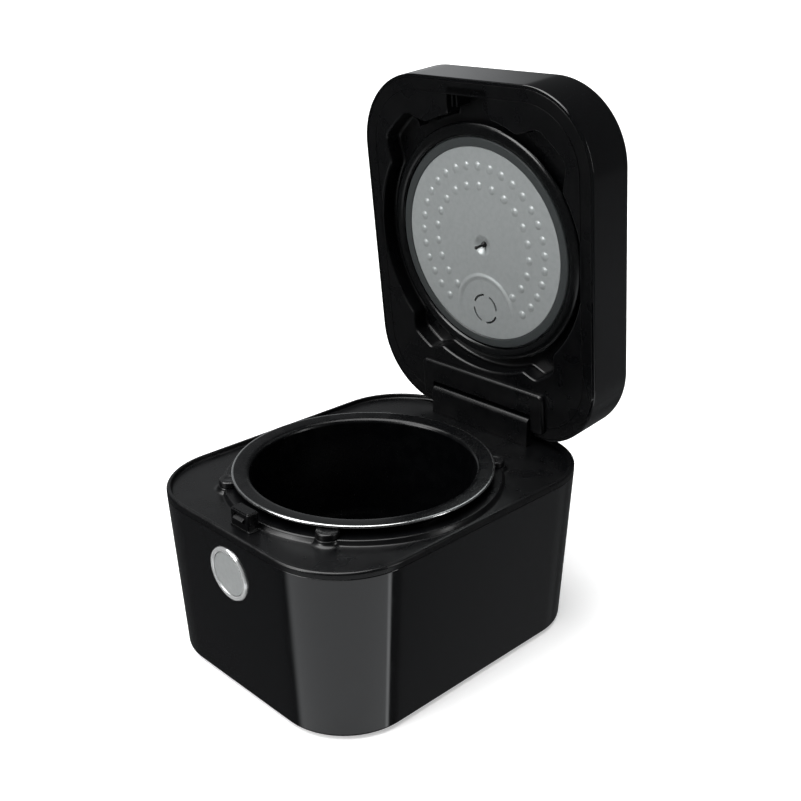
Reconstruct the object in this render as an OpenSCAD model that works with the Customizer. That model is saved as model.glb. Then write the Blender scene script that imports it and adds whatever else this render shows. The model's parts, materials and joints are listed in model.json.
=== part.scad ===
// Rice cooker: square-cornered body, hinged lid, lift-out pot and clip-in inner plate.
// +Z is up and the front faces -Y. The origin is the middle of the body's footprint,
// on the surface that the feet stand on. The lid is modelled standing open.

/* [Body] */
// Width of the body
body_w = 240; // [232:1:300]
// Depth of the body
body_d = 294; // [288:1:360]
// Height of the deck's rim above the surface
rim_z = 143.5; // [140:0.5:180]
// Radius of the upright corners
corner_r = 64; // [54:1:70]
// How far each wall draws in towards the bottom
body_draft = 7; // [3:0.5:9]
// Wall of the outer casing
case_wall = 2.6; // [2:0.1:3]
// Height of the rubber feet
foot_h = 3; // [2:0.5:5]
// Radius of a rubber foot
foot_r = 9; // [7:0.5:11]
// Thickness of the base plate
base_t = 2.6; // [2.4:0.1:3.2]

/* [Deck] */
// Height of the deck's own side band, above the seam
band_h = 5.3; // [4:0.1:7]
// Width of the raised lip round the deck
lip_w = 4; // [3:0.5:6]
// How far the deck lies below the rim
deck_drop = 3.6; // [2.5:0.1:4]
// Thickness of the deck
deck_t = 2.4; // [2:0.1:3]
// Height of the collar round the pot, above the deck
collar_h = 4; // [3:0.5:5]
// Radius of a pot pad
pad_r = 8.8; // [7.5:0.1:10]
// Radius of the long screw posts
post_r = 4.5; // [4:0.1:5.5]

/* [Pot] */
// Outer radius of the pot's flange
pot_flange_r = 104.3; // [84:0.1:106]
// Width of the pot's flange
pot_flange_w = 14.8; // [8:0.1:16]
// Wall of the pot
pot_wall = 2; // [1.6:0.1:2.4]
// Rounding of the pot's bottom, outside
pot_round = 30; // [20:1:40]
// Height of the flange above the deck's rim
pot_stand = 8.5; // [8:0.1:10]
// How far the pot's centre lies in front of the body's centre
pot_forward = 11.5; // [8:0.5:14]
// Height of the pot's underside above the surface
pot_floor_z = 36.5; // [36:0.5:44]

/* [Lid] */
// Thickness of the lid
lid_t = 45.5; // [44:0.5:60]
// Gap between the rim and the closed lid
lid_gap = 1.7; // [1.5:0.1:2.5]
// How far the lid swings open, in degrees
lid_open = 84; // [60:1:88]
// Wall of the lid's shell
lid_wall = 2.6; // [2:0.1:3]
// Rounding of the lid's top edge
lid_edge = 6; // [3:0.5:8]
// Depth of the round recess in the lid's liner
recess_d = 15; // [15:0.5:18]
// How far the inner plate's disc ends inside the edge of the pot's flange
disc_margin = 23; // [22.5:0.1:30]
// How far the disc lies inside the lid
disc_in = 8.7; // [8.5:0.1:10]
// Radius of the ring of steam slots
steam_ring_r = 13; // [11:0.5:14]
// Distance from the disc's edge to the centre of the steam slots
steam_margin = 25.3; // [24:0.1:32]
// Radius of a dimple in the inner plate
dimple_r = 2.9; // [2:0.1:3.2]

/* [Hinge] */
// Radius of the hinge pin
pin_r = 2; // [1.6:0.1:2.4]
// Half length of the hinge tower
tower_half = 55; // [44:1:56]
// Distance from the hinge axis to the body's back
hinge_in = 7.8; // [7.6:0.1:9]
// Height of the hinge axis above the rim
hinge_up = 9.9; // [9.9:0.1:11]
// Reach of the tower in front of the hinge axis
tower_reach = 16.2; // [14:0.1:18]
// Height of the tower above the hinge axis
tower_top = 11.6; // [10:0.1:12.5]

/* [Button and latch] */
// Outer radius of the button's bezel
bezel_r = 21.6; // [18:0.1:26]
// Width of the bezel's face
bezel_w = 3.7; // [3:0.1:5]
// Height of the button's centre above the surface
button_z = 107.7; // [95:0.1:108]
// Travel of the release button
button_travel = 2; // [1.5:0.1:2.2]
// Radius of the button's stem
stem_r = 5; // [4:0.1:6]
// Half width of the latch housing
latch_half = 10.5; // [9:0.1:12]
// Height of the latch housing above the deck
latch_h = 15; // [14:0.1:15.5]

/* [Clearances] */
// Clearance between parts that are moved by hand
clear = 0.3; // [0.2:0.05:0.4]
// Clearance between parts that are fixed together
snug = 0.2; // [0.1:0.05:0.3]
// Radial clearance of a turning or sliding fit
run = 0.05; // [0.02:0.01:0.08]

/* [Hidden] */
$fn = 96;

black = "#1c1d1f";
satin_black = "#26272a";
dark_grey = "#3a3c3f";
silver = "#b9bcbd";
steel = "#8f9496";
copper = "#b06a3a";
green = "#2f6b45";
rubber = "#303133";

// Levels of the body
case_bottom = foot_h;
base_top = foot_h + base_t;
seam_z = rim_z - band_h;
deck_z = rim_z - deck_drop;
deck_under = deck_z - deck_t;
draft_h = seam_z - case_bottom;
draft_angle = atan(body_draft / draft_h);
corner_x = body_w / 2 - corner_r;
corner_y = body_d / 2 - corner_r;

// The pot and what lies round it
pot_y = -pot_forward;
pot_r = pot_flange_r - pot_flange_w + pot_wall;
pot_top = rim_z + pot_stand;
flange_t = 2.4;
flange_under = pot_top - flange_t;
liner_gap = 2.5;
liner_r = pot_r + liner_gap;
liner_t = 1.2;
liner_floor = pot_floor_z - 2;
opening_r = liner_r + 1;
collar_r = pot_flange_r + 6.2;
pad_ring_r = pot_flange_r + 0.9;
pad_angles = [-56.5, 236.5, 53, 127];
pad_top = flange_under - clear - 0.4;
post_x = body_w / 2 - 32;
post_y = body_d / 2 - 29;
post_bottom = base_top + 2.4;
foot_x = body_w / 2 - 48;
foot_y = body_d / 2 - 47;
screw_r = 1.5;

// Coil and bottom sensor, from the cavity's floor downwards
coil_wire_r = 1.6;
coil_z = liner_floor - liner_t - coil_wire_r - snug;
carrier_top = coil_z - coil_wire_r;
carrier_t = 3;
carrier_r = pot_r - 9;
holder_r = 19.5;
holder_low = carrier_top - 13;
sensor_r = 14;
sensor_top = pot_floor_z - snug;
sensor_cap = 3.4;
sensor_stem = 5;
sensor_travel = 2;
ferrite_t = 4;

// Rear electronics
board_y = pot_y + liner_r + liner_t + 18;
board_half = 58;
board_low = base_top + 20;
board_h = rim_z - 32 - board_low;
fan_half = 25;
fan_t = 12;
fan_z = base_top + 1.4;
fan_y = body_d / 2 - 38;
rotor_r = 22.5;
inlet_x = -34;
inlet_z = 40;
inlet_w = 28;
inlet_h = 22;
inlet_depth = 20;

// Button and latch
button_y = -(body_d / 2 - body_draft * (seam_z - button_z) / draft_h);
button_r = bezel_r - bezel_w - 0.4;
barrel_r = bezel_r - 2.4;
stem_reach = 20;
sleeve_r = bezel_r - 0.8;
latch_y = -(body_d / 2 - 13.5);
latch_deep = 10;
latch_wall = 1.3;
latch_top = deck_z + latch_h;
tip_y = button_y + stem_reach * cos(draft_angle);
tip_z = button_z + stem_reach * sin(draft_angle);
arm_y = tip_y + clear;
arm_t = 3.5;
arm_half = 5.5;
pivot_z = 40;
pivot_y = arm_y + arm_t / 2;
pivot_r = 1.5;
hub_r = 4.2;
nose_z = deck_z + 7.2;
nose_h = 3.9;
nose_out = 2.1;
upper_y = latch_y + latch_wall + 0.6;
upper_t = 2.5;

// Hinge and lid, with the lid closed
hinge_y = body_d / 2 - hinge_in;
hinge_z = rim_z + hinge_up;
lid_z = rim_z + lid_gap;
lid_top = lid_z + lid_t;
heel_r = hinge_up - clear;
barrel_out = hinge_in - lid_wall - 0.4;
pocket_r = norm([tower_reach, tower_top]) + 0.8;
pocket_half = tower_half + 1.2;
bracket_in = pocket_half + 1.8;
bracket_w = 9;
spring_half = 26;
seam_y = corner_y + 14.5;
seam_gap = 0.4;
seam_round = 9;
liner_edge = lid_wall + snug;
liner_plate = 2.4;
recess_r = pot_flange_r + 4.2;
recess_wall = 2;
floor_t = 1.6;
floor_z = lid_z + recess_d;
catch_pocket = [21, body_d / 2 - 9];
lip_up = 4.2;
lip_half = tower_half + 14;
lip_front = hinge_y - 36.7;
// Angle, half width and outer radius of each ear of the recess
ears = [[-48.5, 26, pot_flange_r + 20], [228.5, 26, pot_flange_r + 20],
    [54.5, 17, pot_flange_r + 15], [125.5, 17, pot_flange_r + 15]];

// Inner plate
disc_r = pot_flange_r - disc_margin;
steam_back = disc_r - steam_margin;
disc_z = lid_z + disc_in;
disc_t = 1.2;
ring_r = disc_r + 7.5;
ring_z = disc_z - 0.7;
ring_flange_z = disc_z + 3.1;
ring_back = ring_flange_z + 1.2;
gasket_z = pot_top + clear;
gasket_r = pot_flange_r - 3.8;
gasket_in = gasket_r - 10.3;
gasket_bead = 2.4;
heater_z = ring_back + 0.7;
heater_r = disc_r + 2.7;
screw_ring_r = disc_r + 9.7;
lid_screw_angles = [-34, 14, 62, 118, 166, 214];
dish_r = 9;
dish_up = 3.2;
pin_hole_r = 2.6;
plate_pin_r = 2.2;
steam_y = pot_y + steam_back;
duct_r = steam_ring_r + 1.5;
duct_wall = 1.6;
valve_r = duct_r + 8;
valve_deep = 6;

// Control panel
panel_w = 118;
panel_d = 58;
panel_y = -body_d / 2 + 52;
panel_t = 1.6;

// ---------------------------------------------------------------- helpers

module at_corners(x, y) {
    for (sx = [-1, 1], sy = [-1, 1]) translate([sx * x, sy * y, 0]) children();
}

module round_rect(w, d, r) {
    square([w - 2 * r, d], center = true);
    square([w, d - 2 * r], center = true);
    for (sx = [-1, 1], sy = [-1, 1]) translate([sx * (w / 2 - r), sy * (d / 2 - r)]) circle(r);
}

// The body's outline, drawn in by a margin
module outline(margin) {
    round_rect(body_w - 2 * margin, body_d - 2 * margin, corner_r - margin);
}

// Stretches a section, drawn in X and Z, along Y between two ends
module along_y(y0, y1) {
    translate([0, y1, 0]) rotate([90, 0, 0]) linear_extrude(y1 - y0) children();
}

// Stretches a section, drawn in Y and Z, along X between two ends
module along_x(x0, x1) {
    translate([x0, 0, 0]) rotate([90, 0, 90]) linear_extrude(x1 - x0) children();
}

// A block with the body's outline whose walls draw in towards the bottom
module drafted_block(w, d, r, h, draft) {
    along_y(r - d / 2, d / 2 - r) polygon([[draft - w / 2, 0], [w / 2 - draft, 0], [w / 2, h], [-w / 2, h]]);
    along_x(r - w / 2, w / 2 - r) polygon([[draft - d / 2, 0], [d / 2 - draft, 0], [d / 2, h], [-d / 2, h]]);
    at_corners(w / 2 - r, d / 2 - r) cylinder(h = h, r1 = r - draft, r2 = r);
}

// Upright section of a slab with rounded top and bottom edges
module edge_section(w, h, top, bottom) {
    translate([-w / 2, bottom]) square([w, h - top - bottom]);
    translate([top - w / 2, h / 2]) square([w - 2 * top, h / 2]);
    translate([bottom - w / 2, 0]) square([w - 2 * bottom, h / 2]);
    for (s = [-1, 1]) {
        translate([s * (w / 2 - top), h - top]) circle(top);
        translate([s * (w / 2 - bottom), bottom]) circle(bottom);
    }
}

// A block with the body's outline and rounded top and bottom edges
module edged_block(w, d, r, h, top, bottom) {
    along_y(r - d / 2, d / 2 - r) edge_section(w, h, top, bottom);
    along_x(r - w / 2, w / 2 - r) edge_section(d, h, top, bottom);
    at_corners(w / 2 - r, d / 2 - r) rotate_extrude() intersection() {
        edge_section(2 * r, h, top, bottom);
        square([2 * r, h]);
    }
}

module at_pot() {
    translate([0, pot_y, 0]) children();
}

// Places what sits on the sloping front wall: outwards is +Z here
module on_front() {
    translate([0, button_y, button_z]) rotate([90 + draft_angle, 0, 0]) children();
}

// Carries what is drawn on the closed lid to where it stands open
module on_lid() {
    translate([0, hinge_y, hinge_z]) rotate([-lid_open, 0, 0]) translate([0, -hinge_y, -hinge_z]) children();
}

module tube(r, inner, h) {
    difference() {
        cylinder(h = h, r = r);
        translate([0, 0, -1]) cylinder(h = h + 2, r = inner);
    }
}

// A round wire wound into a helix, from its lower end at z = 0
module coil_spring(coil_r, wire_r, length, turns, sides = 6, steps = 14) {
    rings = turns * steps;
    rise = length - 2 * wire_r;
    points = [for (i = [0:rings], k = [0:sides - 1])
        let (a = 360 * i / steps, t = 360 * k / sides, reach = coil_r + wire_r * cos(t))
        [reach * cos(a), reach * sin(a), wire_r + rise * i / rings + wire_r * sin(t)]];
    walls = [for (i = [0:rings - 1], k = [0:sides - 1])
        let (n = (k + 1) % sides)
        [i * sides + k, (i + 1) * sides + k, (i + 1) * sides + n, i * sides + n]];
    ends = [[for (k = [0:sides - 1]) k], [for (k = [sides - 1:-1:0]) rings * sides + k]];
    polyhedron(points, concat(walls, ends), convexity = 10);
}

// ---------------------------------------------------------------- body

module outer_casing() color(black) difference() {
    translate([0, 0, case_bottom]) drafted_block(body_w, body_d, corner_r, draft_h, body_draft);
    translate([0, 0, case_bottom]) drafted_block(body_w - 2 * case_wall, body_d - 2 * case_wall,
        corner_r - case_wall, draft_h, body_draft);
    on_front() translate([0, 0, -12]) cylinder(h = 20, r = barrel_r + snug);
    translate([inlet_x, body_d / 2, inlet_z])
        cube([inlet_w + 2 * snug, 40, inlet_h + 2 * snug], center = true);
}

module base_plate() color(satin_black) {
    margin = body_draft + case_wall + snug;
    difference() {
        union() {
            translate([0, 0, case_bottom]) linear_extrude(base_t) outline(margin);
            at_corners(post_x, post_y) translate([0, 0, base_top]) cylinder(h = 2.4, r = post_r + 1.5);
            // Frame of the fan
            translate([0, fan_y, base_top]) linear_extrude(1.4) difference() {
                square(2 * fan_half + 4, center = true);
                circle(rotor_r + 1);
            }
            // Rails that hold the main board by its edges
            for (s = [-1, 1]) translate([s * (board_half + 1.5), board_y, base_top])
                linear_extrude(board_low + 50) square([5, 8], center = true);
            // Pillar under the power inlet
            translate([inlet_x - 12, body_d / 2 - 26, base_top]) cube([18, 6, inlet_z - inlet_h / 2 - base_top]);
            // Legs of the coil carrier
            for (a = [30, 150, 270]) at_pot() rotate(a) translate([carrier_r - 8, 0, base_top])
                cylinder(h = carrier_top - carrier_t - base_top, r = 4);
        }
        at_corners(post_x, post_y) {
            translate([0, 0, 0]) cylinder(h = 20, r = screw_r + 0.4);
            translate([0, 0, case_bottom - 1]) cylinder(h = 2.4, r = 3.6);
        }
        at_corners(foot_x, foot_y) cylinder(h = 20, r = 3 + 0.1);
        for (s = [-1, 1]) translate([s * board_half, board_y, board_low])
            translate([-1.5, -1, 0]) cube([3, 2, 200]);
        // Air inlet under the fan
        for (i = [-4:4]) translate([i * 5 - 1.5, fan_y - 18, 0]) cube([3, 36, case_bottom + base_t + 0.1]);
        // Air outlets along both sides
        for (s = [-1, 1], i = [-5:5]) translate([s * (body_w / 2 - 42) - 12, i * 7 - 1.5, 0]) cube([24, 3, 20]);
    }
}

module foot(x, y) color(rubber) translate([x, y, 0]) {
    cylinder(h = 0.8, r1 = foot_r - 0.8, r2 = foot_r);
    translate([0, 0, 0.8]) cylinder(h = foot_h - 0.8, r = foot_r);
    cylinder(h = foot_h + 2, r = 3);
}

module foot_front_left() foot(-foot_x, -foot_y);
module foot_front_right() foot(foot_x, -foot_y);
module foot_rear_left() foot(-foot_x, foot_y);
module foot_rear_right() foot(foot_x, foot_y);

module base_screws() color(steel) at_corners(post_x, post_y) {
    translate([0, 0, case_bottom + 0.1]) difference() {
        cylinder(h = 1.3, r = 3.2);
        for (a = [0, 90]) rotate(a) cube([3.6, 0.8, 1.4], center = true);
    }
    translate([0, 0, case_bottom + 1]) cylinder(h = 14, r = screw_r);
}

module deck_frame() color(satin_black) difference() {
    union() {
        // Side band and lip
        intersection() {
            translate([0, 0, seam_z - 4]) edged_block(body_w, body_d, corner_r, band_h + 4, 2, 2);
            translate([0, 0, seam_z]) linear_extrude(band_h + 1) square([body_w + 2, body_d + 2], center = true);
        }
        // Spigot inside the casing
        translate([0, 0, seam_z - 5]) linear_extrude(5) outline(case_wall + 0.5);
        at_corners(post_x, post_y) translate([0, 0, post_bottom])
            cylinder(h = deck_under - post_bottom, r = post_r);
    }
    difference() {
        translate([0, 0, deck_z]) linear_extrude(20) outline(lip_w);
        at_pot() translate([0, 0, deck_z]) cylinder(h = 1.2, r = collar_r + 0.8);
        at_pot() translate([0, 0, deck_z + 1.2]) cylinder(h = collar_h - 1.2, r1 = collar_r + 0.8, r2 = collar_r - 1);
        for (a = pad_angles) at_pot() rotate(a) translate([pad_ring_r, 0, deck_z])
            cylinder(h = collar_h, r1 = pad_r + 3.4, r2 = pad_r + 0.5);
    }
    // Rounded foot of the lip
    translate([0, 0, deck_z + 1.6]) linear_extrude(20) outline(lip_w - 1);
    // Underside, hollow inside the spigot
    difference() {
        translate([0, 0, seam_z - 10]) linear_extrude(deck_under - seam_z + 10) outline(case_wall + 2.5);
        at_corners(post_x, post_y) cylinder(h = 200, r = post_r);
    }
    // Step on top of the collar, then the opening for the pot
    at_pot() translate([0, 0, deck_z + collar_h - 1.2]) cylinder(h = 20, r = opening_r + 1.3);
    at_pot() cylinder(h = 300, r = opening_r);
    at_corners(post_x, post_y) translate([0, 0, post_bottom - 1]) cylinder(h = 18, r = screw_r + 0.02);
    // Way through for the latch arm
    translate([0, latch_y + latch_deep / 2, deck_under]) cube([2 * arm_half + 5, latch_deep - 0.5, 30], center = true);
    // Pegs of the pads
    for (a = pad_angles) at_pot() rotate(a) translate([pad_ring_r + 1, 0, 0]) cylinder(h = 300, r = 3 + 0.1);
}

module pot_pad(a) color(rubber) at_pot() rotate(a) {
    translate([pad_ring_r, 0, deck_z + collar_h]) rotate_extrude() {
        h = pad_top - deck_z - collar_h;
        square([pad_r - 1.5, h]);
        square([pad_r, h - 1.5]);
        translate([pad_r - 1.5, h - 1.5]) circle(1.5);
    }
    translate([pad_ring_r + 1, 0, deck_under]) cylinder(h = deck_t + collar_h, r = 3);
}

module pot_pad_front_left() pot_pad(pad_angles[1]);
module pot_pad_front_right() pot_pad(pad_angles[0]);
module pot_pad_rear_left() pot_pad(pad_angles[3]);
module pot_pad_rear_right() pot_pad(pad_angles[2]);

// Upright half section of a bowl, from its axis outwards
module bowl_section(r, round_r, h) {
    square([r - round_r, h]);
    translate([0, round_r]) square([r, h - round_r]);
    intersection() {
        translate([r - round_r, round_r]) circle(round_r);
        square([r, h]);
    }
}

module cavity_liner() color(dark_grey) at_pot() difference() {
    union() {
        translate([0, 0, liner_floor - liner_t]) rotate_extrude()
            bowl_section(liner_r + liner_t, pot_round + liner_gap + liner_t, deck_under - liner_floor + liner_t);
        translate([0, 0, deck_under - 1.2]) cylinder(h = 1.2, r = liner_r + 7);
    }
    translate([0, 0, liner_floor]) rotate_extrude()
        bowl_section(liner_r, pot_round + liner_gap, 200);
    cylinder(h = 100, r = sensor_r + 1);
}

module coil_carrier() color("#d8d4c8") at_pot() difference() {
    translate([0, 0, carrier_top - carrier_t]) cylinder(h = carrier_t, r = carrier_r);
    cylinder(h = 200, r = holder_r + snug);
    for (a = [0:60:300]) rotate(a + 30) translate([holder_r + 24, -3, 0]) cube([22, 6, 200]);
}

module induction_coil() color(copper) at_pot() translate([0, 0, coil_z]) rotate_extrude() {
    pitch = 2 * coil_wire_r - 0.2;
    start = holder_r + 6.5;
    for (i = [0:6]) translate([start + coil_wire_r + i * pitch, 0]) circle(coil_wire_r);
    for (i = [0:5]) translate([start + 27 + i * pitch, 0]) circle(coil_wire_r);
}

module ferrite_bars() color("#2b2b2d") at_pot() for (a = [0:60:300]) rotate(a)
    translate([holder_r + 4, -5, carrier_top - carrier_t - ferrite_t])
        cube([carrier_r - holder_r - 6, 10, ferrite_t]);

module sensor_holder() color(satin_black) at_pot() difference() {
    union() {
        translate([0, 0, holder_low]) cylinder(h = carrier_top - holder_low, r = holder_r);
        translate([0, 0, carrier_top]) cylinder(h = 1.2, r = holder_r + 4);
    }
    difference() {
        translate([0, 0, holder_low + 1.5]) cylinder(h = 40, r = holder_r - 1.6);
        cylinder(h = holder_low + 6, r = sensor_stem + 2.5);
    }
    cylinder(h = 200, r = sensor_stem + run);
}

module sensor_spring() color(steel) at_pot() translate([0, 0, holder_low + 1.6])
    coil_spring(sensor_stem + 5, 0.7, sensor_top - sensor_cap - holder_low - 1.7, 4);

module bottom_sensor() color(silver) at_pot() {
    translate([0, 0, sensor_top - sensor_cap]) rotate_extrude() {
        square([sensor_r - 1.2, sensor_cap]);
        square([sensor_r, sensor_cap - 1.2]);
        translate([sensor_r - 1.2, sensor_cap - 1.2]) circle(1.2);
    }
    translate([0, 0, holder_low - 3]) cylinder(h = sensor_top - holder_low, r = sensor_stem);
}

module main_board() color(green) {
    translate([-board_half, board_y - 0.8, board_low]) cube([2 * board_half, 1.6, board_h]);
    // Filter choke, capacitors and connectors stand on the board's rear face
    translate([30, board_y + 0.8, board_low + 52]) rotate([-90, 0, 0]) cylinder(h = 15, r = 11);
    for (i = [0:2]) translate([4 + i * 17, board_y + 0.8, board_low + 30]) rotate([-90, 0, 0])
        cylinder(h = 16, r = 6.5);
    translate([-48, board_y + 0.8, board_low + 52]) cube([30, 9, 16]);
    translate([-6, board_y + 0.8, board_low + 4]) cube([22, 7, 9]);
}

module heat_sink() color(silver) translate([-12, board_y + 0.8, board_low + 44]) {
    cube([26, 3, 34]);
    for (i = [0:5]) translate([i * 4.8, 0, 0]) cube([2, 16, 34]);
}

module fan_frame() color(satin_black) translate([0, fan_y, fan_z]) difference() {
    union() {
        difference() {
            translate([-fan_half, -fan_half, 0]) cube([2 * fan_half, 2 * fan_half, fan_t]);
            translate([0, 0, -1]) cylinder(h = fan_t + 2, r = rotor_r + 0.8);
        }
        // Motor seat on three arms
        cylinder(h = 1.6, r = 9);
        for (a = [0, 120, 240]) rotate(a) translate([0, -1.5, 0]) cube([rotor_r + 1.5, 3, 1.6]);
        cylinder(h = 8, r = 2);
    }
    at_corners(fan_half - 4, fan_half - 4) translate([0, 0, -1]) cylinder(h = fan_t + 2, r = 1.8);
}

module fan_rotor() color(black) translate([0, fan_y, fan_z]) {
    difference() {
        translate([0, 0, 2.2]) cylinder(h = fan_t - 3, r = 9);
        translate([0, 0, -1]) cylinder(h = 10, r = 2 + run);
        translate([0, 0, 2.1]) tube(7.6, 4, 5);
    }
    for (a = [0:360 / 7:359]) rotate(a) translate([8.5, 0, 2.2 + (fan_t - 3) / 2]) rotate([52, 0, 0])
        translate([0, -5, -0.5]) cube([rotor_r - 9, 10, 1]);
}

module power_inlet() color(black) {
    face_y = body_d / 2 - body_draft * (seam_z - inlet_z + inlet_h / 2) / draft_h - 0.2;
    difference() {
        union() {
            translate([inlet_x - inlet_w / 2, face_y - inlet_depth, inlet_z - inlet_h / 2])
                cube([inlet_w, inlet_depth, inlet_h]);
            translate([inlet_x - inlet_w / 2 - 3, face_y - 8, inlet_z - inlet_h / 2])
                cube([inlet_w + 6, 3, inlet_h + 3]);
        }
        translate([inlet_x, face_y - inlet_depth + 3, inlet_z]) rotate([-90, 0, 0])
            linear_extrude(inlet_depth) round_rect(inlet_w - 4, inlet_h - 5, 3);
    }
}

module inlet_pins() color(silver) {
    face_y = body_d / 2 - body_draft * (seam_z - inlet_z + inlet_h / 2) / draft_h - 0.2;
    for (s = [-1, 1]) translate([inlet_x + s * 6 - 1, face_y - inlet_depth + 3, inlet_z - 3])
        cube([2, inlet_depth - 8, 4]);
    translate([inlet_x - 1, face_y - inlet_depth + 3, inlet_z + 2.5]) cube([2, inlet_depth - 8, 4]);
}

// ---------------------------------------------------------------- button and latch

module button_bezel() color(silver) on_front() rotate_extrude() {
    face = bezel_r - bezel_w;
    polygon([[face, 0.7], [face + 0.5, 1.4], [bezel_r - 1.1, 1.8], [bezel_r, 0.9], [bezel_r, 0.05],
        [barrel_r, 0.05], [barrel_r, -8], [face, -8]]);
}

module button_sleeve() color(satin_black) on_front() difference() {
    translate([0, 0, -16]) cylinder(h = 16 - case_wall, r = sleeve_r);
    translate([0, 0, -13.5]) cylinder(h = 30, r = barrel_r + snug);
    translate([0, 0, -20]) cylinder(h = 20, r = stem_r + run);
}

module button_spring() color(steel) on_front() translate([0, 0, -13.4])
    coil_spring(stem_r + 3.5, 0.6, 7.3, 3);

module release_button() color(silver) on_front() {
    rotate_extrude() {
        polygon([[0, -6], [button_r, -6], [button_r, 0.3], [button_r - 0.7, 0.9], [0, 0.7]]);
    }
    translate([0, 0, -stem_reach]) cylinder(h = stem_reach, r = stem_r);
}

module latch_housing() color(satin_black) difference() {
    union() {
        translate([0, latch_y + latch_deep / 2, deck_z]) linear_extrude(latch_h - 1)
            round_rect(2 * latch_half, latch_deep, 1.4);
        translate([0, latch_y + latch_deep / 2, deck_z]) linear_extrude(latch_h)
            round_rect(2 * latch_half - 1.6, latch_deep - 1.6, 1.2);
        translate([0, latch_y + latch_deep / 2, deck_z]) linear_extrude(1.2)
            round_rect(2 * latch_half + 3, latch_deep + 0.8, 2);
    }
    translate([0, latch_y + latch_deep / 2, deck_z - 1]) linear_extrude(latch_h - 0.5)
        square([2 * latch_half - 5, latch_deep - 2 * latch_wall], center = true);
    // Window for the nose of the latch
    translate([0, latch_y, nose_z + nose_h / 2]) cube([2 * arm_half + 1.4, 8, nose_h + 2], center = true);
}

module latch_bracket() color(steel) {
    difference() {
        union() {
            translate([-12, pivot_y - 7, base_top]) cube([24, 16, 2]);
            for (s = [-1, 1]) translate([s * (arm_half + 2.2) - 1, pivot_y - 6, base_top])
                cube([2, 12, pivot_z - base_top + 6]);
            // Rear tongue that backs the spring
            translate([-5, pivot_y + 7, base_top]) cube([10, 2, pivot_z - base_top + 52]);
        }
        translate([-30, pivot_y, pivot_z]) rotate([0, 90, 0]) cylinder(h = 60, r = pivot_r + 0.02);
    }
}

module latch_pin() color(silver) translate([-arm_half - 4.4, pivot_y, pivot_z]) rotate([0, 90, 0])
    cylinder(h = 2 * arm_half + 8.8, r = pivot_r);

module latch_spring() color(steel) translate([0, arm_y + arm_t + 0.1, pivot_z + 46]) rotate([-90, 0, 0])
    coil_spring(3, 0.5, pivot_y + 7 - arm_y - arm_t - 0.2, 3);

module latch_arm() color(satin_black) difference() {
    union() {
        along_x(-arm_half, arm_half) {
            translate([pivot_y, pivot_z]) circle(hub_r);
            translate([arm_y, pivot_z]) square([arm_t, deck_under - 5 - pivot_z]);
            polygon([[upper_y, deck_under - 6], [arm_y + arm_t, deck_under - 6],
                [arm_y + arm_t, deck_under - 3], [upper_y + upper_t, deck_under - 1.5],
                [upper_y, deck_under - 1.5]]);
            translate([upper_y, deck_under - 2]) square([upper_t, nose_z + nose_h + 1 - deck_under + 2]);
            polygon([[latch_y - nose_out, nose_z], [upper_y + 1.4, nose_z],
                [upper_y + 1.4, nose_z + nose_h], [latch_y - nose_out, nose_z + 1.4]]);
        }
    }
    translate([-30, pivot_y, pivot_z]) rotate([0, 90, 0]) cylinder(h = 60, r = pivot_r + run);
}

// ---------------------------------------------------------------- hinge

module hinge_tower() color(satin_black) difference() {
    along_x(-tower_half, tower_half) translate([hinge_y, hinge_z]) {
        foot_y0 = -tower_reach;
        // Front wall
        translate([foot_y0, deck_z - hinge_z]) square([6.3, tower_top - deck_z + hinge_z - 1.5]);
        // Head, which reaches back over the axis
        translate([foot_y0, -barrel_out]) square([tower_reach, tower_top + barrel_out - 1.5]);
        translate([foot_y0 + 1.5, 0]) square([tower_reach + barrel_out - 3, tower_top]);
        translate([0, 0]) square([barrel_out, tower_top - 1.5]);
        translate([foot_y0 + 1.5, tower_top - 1.5]) circle(1.5);
        translate([barrel_out - 1.5, tower_top - 1.5]) circle(1.5);
        circle(barrel_out);
    }
    along_x(-tower_half - 1, tower_half + 1) translate([hinge_y, hinge_z]) circle(pin_r + run);
    // Bay for the spring and the damper
    translate([-spring_half, hinge_y - 5.4, hinge_z - 8]) cube([2 * spring_half, 20, 13.4]);
}

module hinge_spring() color(steel) translate([1.4, hinge_y, hinge_z]) rotate([0, 90, 0])
    coil_spring(pin_r + 1.3, 0.6, spring_half - 3, 14, 6, 10);

module hinge_damper() color(black) translate([-spring_half + snug, hinge_y, hinge_z]) rotate([0, 90, 0])
    tube(barrel_out - 0.5, pin_r + run, spring_half - 2);

module hinge_pin() color(steel) translate([-bracket_in - bracket_w, hinge_y, hinge_z]) rotate([0, 90, 0])
    cylinder(h = 2 * (bracket_in + bracket_w), r = pin_r);

module hinge_bracket(side) color(steel) on_lid() difference() {
    x0 = side > 0 ? bracket_in : -bracket_in - bracket_w;
    along_x(x0, x0 + bracket_w) {
        translate([hinge_y, hinge_z]) circle(barrel_out - 0.8);
        translate([hinge_y - 12, hinge_z - barrel_out + 0.8]) square([12, 2 * barrel_out - 1.6]);
        translate([hinge_y - 12, lid_z + liner_plate]) square([9, hinge_z - lid_z]);
    }
    along_x(x0 - 1, x0 + bracket_w + 1) translate([hinge_y, hinge_z]) circle(pin_r + 0.02);
}

module hinge_bracket_left() hinge_bracket(-1);
module hinge_bracket_right() hinge_bracket(1);

// ---------------------------------------------------------------- pot

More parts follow.
